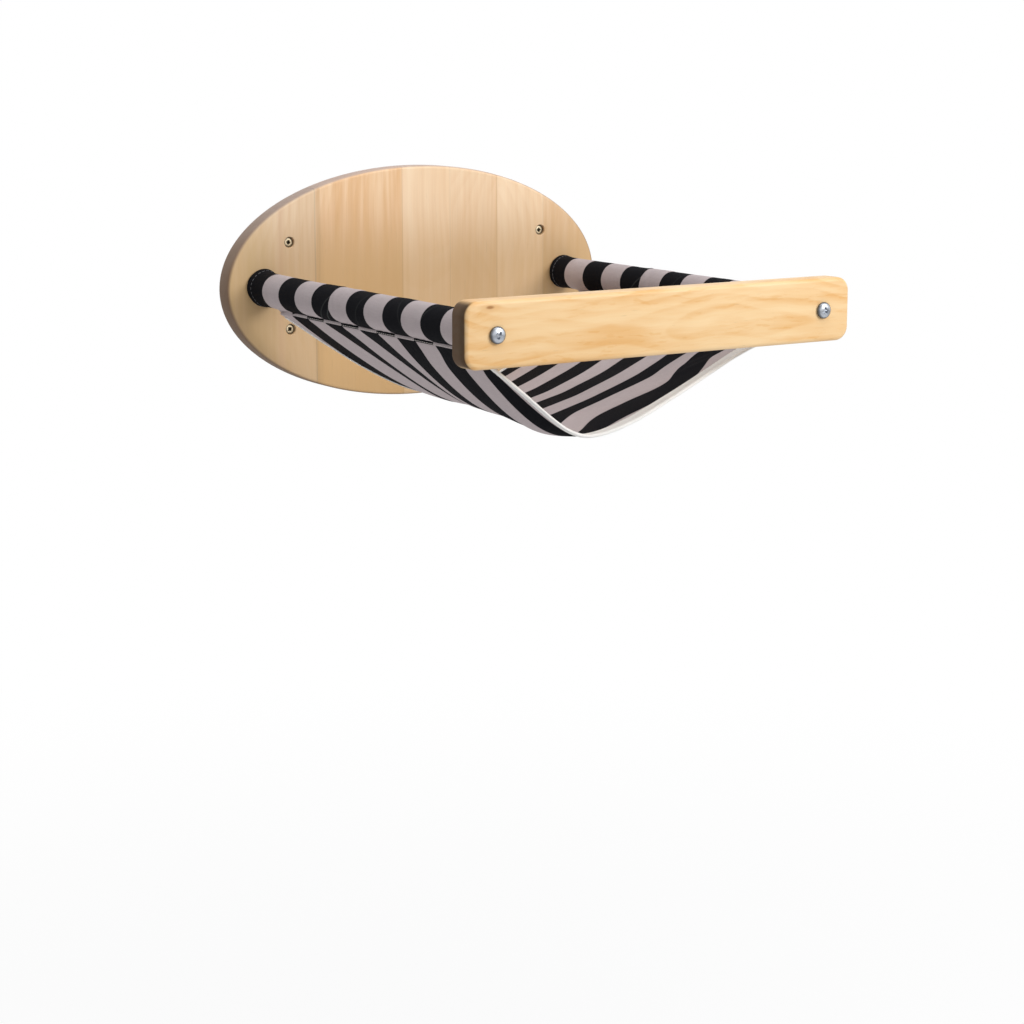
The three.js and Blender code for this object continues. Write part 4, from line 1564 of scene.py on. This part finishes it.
class BED_OT_stitch_seams(bpy.types.Operator):
    """Lay the rows of stitches along the hems, the seam strips and the sleeves' ends"""

    bl_idname = "bed.stitch_seams"
    bl_label = "Stitch the seams"

    pitch = 3.3 * MM
    radius = 0.24 * MM
    edge_inset = 2.2 * MM
    line_inset = 1.6 * MM
    narrow_hem = 4 * MM
    narrow_inset = 1.5 * MM
    ring_inset = 1.2 * MM
    row_end = 5 * MM
    ring_open_share = 0.03
    half_share = 0.4

    def execute(self, context):
        cloth = context.scene.bed_cloth
        pale = thread_finish("pale_thread", cloth.thread_colour)
        grey = thread_finish("grey_thread", cloth.ring_thread_colour)
        rows = {}
        for name, edge, inward in FREE_EDGES:
            widths = hem_form(inward < 0, cloth)
            for face, width, lift in (("upper", widths[0], 1.3), ("lower", widths[1], -1.3)):
                insets = (self.edge_inset, width - self.line_inset)
                if width <= self.narrow_hem:
                    insets = (self.narrow_inset,)
                rows[f"stitches_hem_{name}_{face}"] = [
                    self.hem_row(edge, inward * inset, lift * cloth.thickness, cloth) for inset in insets]
        for side, name in SIDES:
            rows[f"stitches_seam_{name}"] = [self.strip_row(side)]
            rows[f"stitches_sleeve_{name}"] = [
                self.ring_row(side, along, cloth)
                for along in (
                    BOARD_FACE_Y - SLEEVE_HIGH.y + SLEEVE_HEM - self.ring_inset,
                    BOARD_FACE_Y - SLEEVE_LOW.y - SLEEVE_HEM + self.ring_inset)]
        for name, lines in rows.items():
            stitch = self.one_stitch()
            matrices = [self.frame_between(a, b) for line in lines for a, b in line]
            piece = lay_copies(name, stitch, matrices)
            smooth(piece, 60)
            dress(piece, grey if "sleeve" in name else pale, "hem_canvas")
        return {"FINISHED"}

    def one_stitch(self):
        """A short thread along X, sunk at both ends."""
        deselect_all()
        bpy.ops.mesh.primitive_uv_sphere_add(
            segments=6, ring_count=6, radius=1, rotation=(0, math.pi / 2, 0))
        stitch = added("stitch")
        stitch.scale = (self.radius, self.radius, self.pitch * 0.42)
        apply_place(stitch)
        return stitch

    def frame_between(self, start, end):
        """Matrix that lays a stitch from start to end."""
        line = end - start
        turned = line.to_track_quat("X", "Z").to_matrix().to_4x4()
        return Matrix.Translation((start + end) / 2) @ turned

    def row(self, count, start, step, half, point):
        """A row of stitches whose middles lie a step apart, each from half before to half after."""
        middles = [start + (number + 0.5) * step for number in range(count)]
        return [[point(middle - half), point(middle + half)] for middle in middles]

    def ring_row(self, side, along, cloth):
        """Stitches round a sleeve, near one of its ends."""
        count = int(SLEEVE_ROUND_WAY / self.pitch)
        step = (1 - 2 * self.ring_open_share) / count

        def on_sleeve(u):
            point = sleeve_point(side, u, along, cloth.thickness)
            outward = Vector((point.x - side * DOWEL_X, 0, point.z)).normalized()
            return point + outward * (cloth.thickness / 2 + 0.05 * MM)

        return self.row(count, self.ring_open_share, step, step * self.half_share, on_sleeve)

    def hem_row(self, edge, inset, lift, cloth):
        """Stitches along a hem, at an inset from the sling's edge."""
        reach = DOWEL_X - self.row_end
        count = int(2 * reach / self.pitch)
        return self.row(
            count, -reach, 2 * reach / count, self.pitch * self.half_share,
            lambda x: sling_point(x, edge(x) + inset, cloth.sag, lift))

    def strip_row(self, side):
        """Stitches along the outer face of a seam strip."""
        first = STRIP_START + STRIP_TAPER
        count = int((BOARD_FACE_Y - first - STRIP_LOW.y) / self.pitch)

        def on_strip(along, wave):
            x = side * (DOWEL_X + STRIP_OUT + 2 * TAPE_LAYER + wave)
            return Vector((x, BOARD_FACE_Y - along, STRIP_FOOT_Z + 0.8 * MM + wave * 0.6))

        ends = []
        for number in range(count):
            middle = first + (number + 0.5) * self.pitch
            half = self.pitch * self.half_share
            wave = strip_wave(side, middle)
            ends.append([on_strip(middle - half, wave), on_strip(middle + half, wave)])
        return ends


# Operator: the stage

CAMERA_PLACE = (-1.07165, -1.87147, 0.21286)
CAMERA_YAW = 32.23
CAMERA_PITCH = 11.11
CAMERA_FOCAL_PIXELS = 2436.6
PICTURE_PIXELS = 1024
SENSOR_WIDTH = 36.0

# Lamps: where each hangs from the bed's middle, and its width. The sky's grey is a little cool.
KEY_LAMP_PLACE, KEY_LAMP_WIDTH = (1.05, -1.85, 0.95), 1.0
TOP_LAMP_PLACE, TOP_LAMP_WIDTH = (-0.1, -0.6, 1.9), 1.6
SKY_GREY = (0.97, 0.98, 1.0, 1)
FLOOR_GREY = (0.86, 0.86, 0.86, 1)


class BED_OT_set_stage(bpy.types.Operator):
    """Set the floor, the lamps, the sky and the camera"""

    bl_idname = "bed.set_stage"
    bl_label = "Set the stage"

    def execute(self, context):
        stage = context.scene.bed_stage
        self.lay_floor(stage)
        self.light_sky(context.scene, stage)
        middle = Vector((0, BAR_LOW.y / 2, 0))
        self.hang_lamp("key_lamp", middle, KEY_LAMP_PLACE, KEY_LAMP_WIDTH, stage.key_power)
        self.hang_lamp("top_lamp", middle, TOP_LAMP_PLACE, TOP_LAMP_WIDTH, stage.top_power)
        self.place_camera(context.scene)
        context.scene.view_settings.view_transform = "Standard"
        return {"FINISHED"}

    def lay_floor(self, stage):
        deselect_all()
        bpy.ops.mesh.primitive_circle_add(
            vertices=96, radius=14, fill_type="NGON", location=(0, 0, -stage.floor_drop))
        floor = added("floor")
        apply_place(floor)
        finish = Finish("floor_paper", {})
        x, y, _ = finish.object_axes()
        tooth = finish.noise(x * 300, y * 300, 0.0, 2.0)
        finish.finish_with(finish.shade(FLOOR_GREY, 0.99 + tooth * 0.02), 0.9)
        light = finish.add("ShaderNodeLightPath", {}, {}, "Is Camera Ray")
        behind = finish.add("ShaderNodeNewGeometry", {}, {}, "Backfacing")
        white = finish.add("ShaderNodeEmission", {}, {"Color": (1, 1, 1, 1), "Strength": 1.0})
        clear = finish.add("ShaderNodeBsdfTransparent", {}, {})
        paper = Socket(finish, finish.shader.outputs[0])
        away = (x * x + y * y).root().rise(0.2, 1.7)
        seen = finish.add("ShaderNodeMixShader", {}, {0: light * (0.9 + away * 0.1), 1: paper, 2: white})
        both = finish.add("ShaderNodeMixShader", {}, {0: behind, 1: seen, 2: clear})
        finish.plug(finish.nodes["Material Output"].inputs["Surface"], both)
        floor.data.materials.append(finish.material)

    def light_sky(self, scene, stage):
        """An even grey light, which the camera and reflections see as white."""
        scene.world = bpy.data.worlds.new("sky")
        sky = Graph(scene.world)
        background = sky.nodes["Background"]
        sky.plug(background.inputs["Color"], SKY_GREY)
        sky.plug(background.inputs["Strength"], stage.sky_strength)
        grey = Socket(sky, background.outputs[0])
        white = sky.add("ShaderNodeBackground", {}, {"Color": (1, 1, 1, 1), "Strength": 1.0})
        camera, glossy, clear = (
            sky.add("ShaderNodeLightPath", {}, {}, f"Is {kind} Ray")
            for kind in ("Camera", "Glossy", "Transmission"))
        both = sky.add("ShaderNodeMixShader", {}, {0: camera.most(glossy).most(clear), 1: grey, 2: white})
        sky.plug(sky.nodes["World Output"].inputs["Surface"], both)

    def hang_lamp(self, name, target, offset, size, power):
        """A square lamp that hangs off its target and shines at it."""
        place = target + Vector(offset)
        lamp = bpy.data.lights.new(name, "AREA")
        lamp.shape = "SQUARE"
        lamp.size = size
        lamp.energy = power
        holder = bpy.data.objects.new(name, lamp)
        holder.location = place
        holder.rotation_euler = (target - place).to_track_quat("-Z", "Y").to_euler()
        bpy.context.scene.collection.objects.link(holder)

    def place_camera(self, scene):
        data = bpy.data.cameras.new("camera")
        data.sensor_width = SENSOR_WIDTH
        data.lens = CAMERA_FOCAL_PIXELS / PICTURE_PIXELS * SENSOR_WIDTH
        data.clip_end = 60
        camera = bpy.data.objects.new("camera", data)
        camera.location = CAMERA_PLACE
        camera.rotation_euler = (math.radians(90 - CAMERA_PITCH), 0, -math.radians(CAMERA_YAW))
        scene.collection.objects.link(camera)
        scene.camera = camera


class BED_PT_sidebar(bpy.types.Panel):
    """Lists the bed's settings and the steps that make it"""

    bl_label = "Cat Bed"
    bl_idname = "BED_PT_sidebar"
    bl_space_type = "VIEW_3D"
    bl_region_type = "UI"
    bl_category = "Cat Bed"

    def draw(self, context):
        for group in SETTINGS:
            box = self.layout.box()
            for name in group.__annotations__:
                box.prop(getattr(context.scene, SETTINGS[group]), name)
        for operator in OPERATORS:
            self.layout.operator(operator.bl_idname)


SETTINGS = {
    BedWoodSettings: "bed_wood",
    BedClothSettings: "bed_cloth",
    BedMetalSettings: "bed_metal",
    BedStageSettings: "bed_stage",
}
OPERATORS = (
    BED_OT_set_stage,
    BED_OT_saw_backboard,
    BED_OT_shape_front_bar,
    BED_OT_finish_dowels,
    BED_OT_turn_bolts,
    BED_OT_turn_wall_screws,
    BED_OT_sew_sleeves,
    BED_OT_hang_sling,
    BED_OT_turn_edge_hems,
    BED_OT_sew_seam_strips,
    BED_OT_stitch_seams,
)


def register():
    for group, name in SETTINGS.items():
        bpy.utils.register_class(group)
        setattr(bpy.types.Scene, name, PointerProperty(type=group))
    for operator in OPERATORS:
        bpy.utils.register_class(operator)
    bpy.utils.register_class(BED_PT_sidebar)


def unregister():
    bpy.utils.unregister_class(BED_PT_sidebar)
    for operator in reversed(OPERATORS):
        bpy.utils.unregister_class(operator)
    for group, name in SETTINGS.items():
        delattr(bpy.types.Scene, name)
        bpy.utils.unregister_class(group)


def main():
    register()
    for operator in OPERATORS:
        family, name = operator.bl_idname.split(".")
        getattr(getattr(bpy.ops, family), name)()


if __name__ == "__main__":
    main()
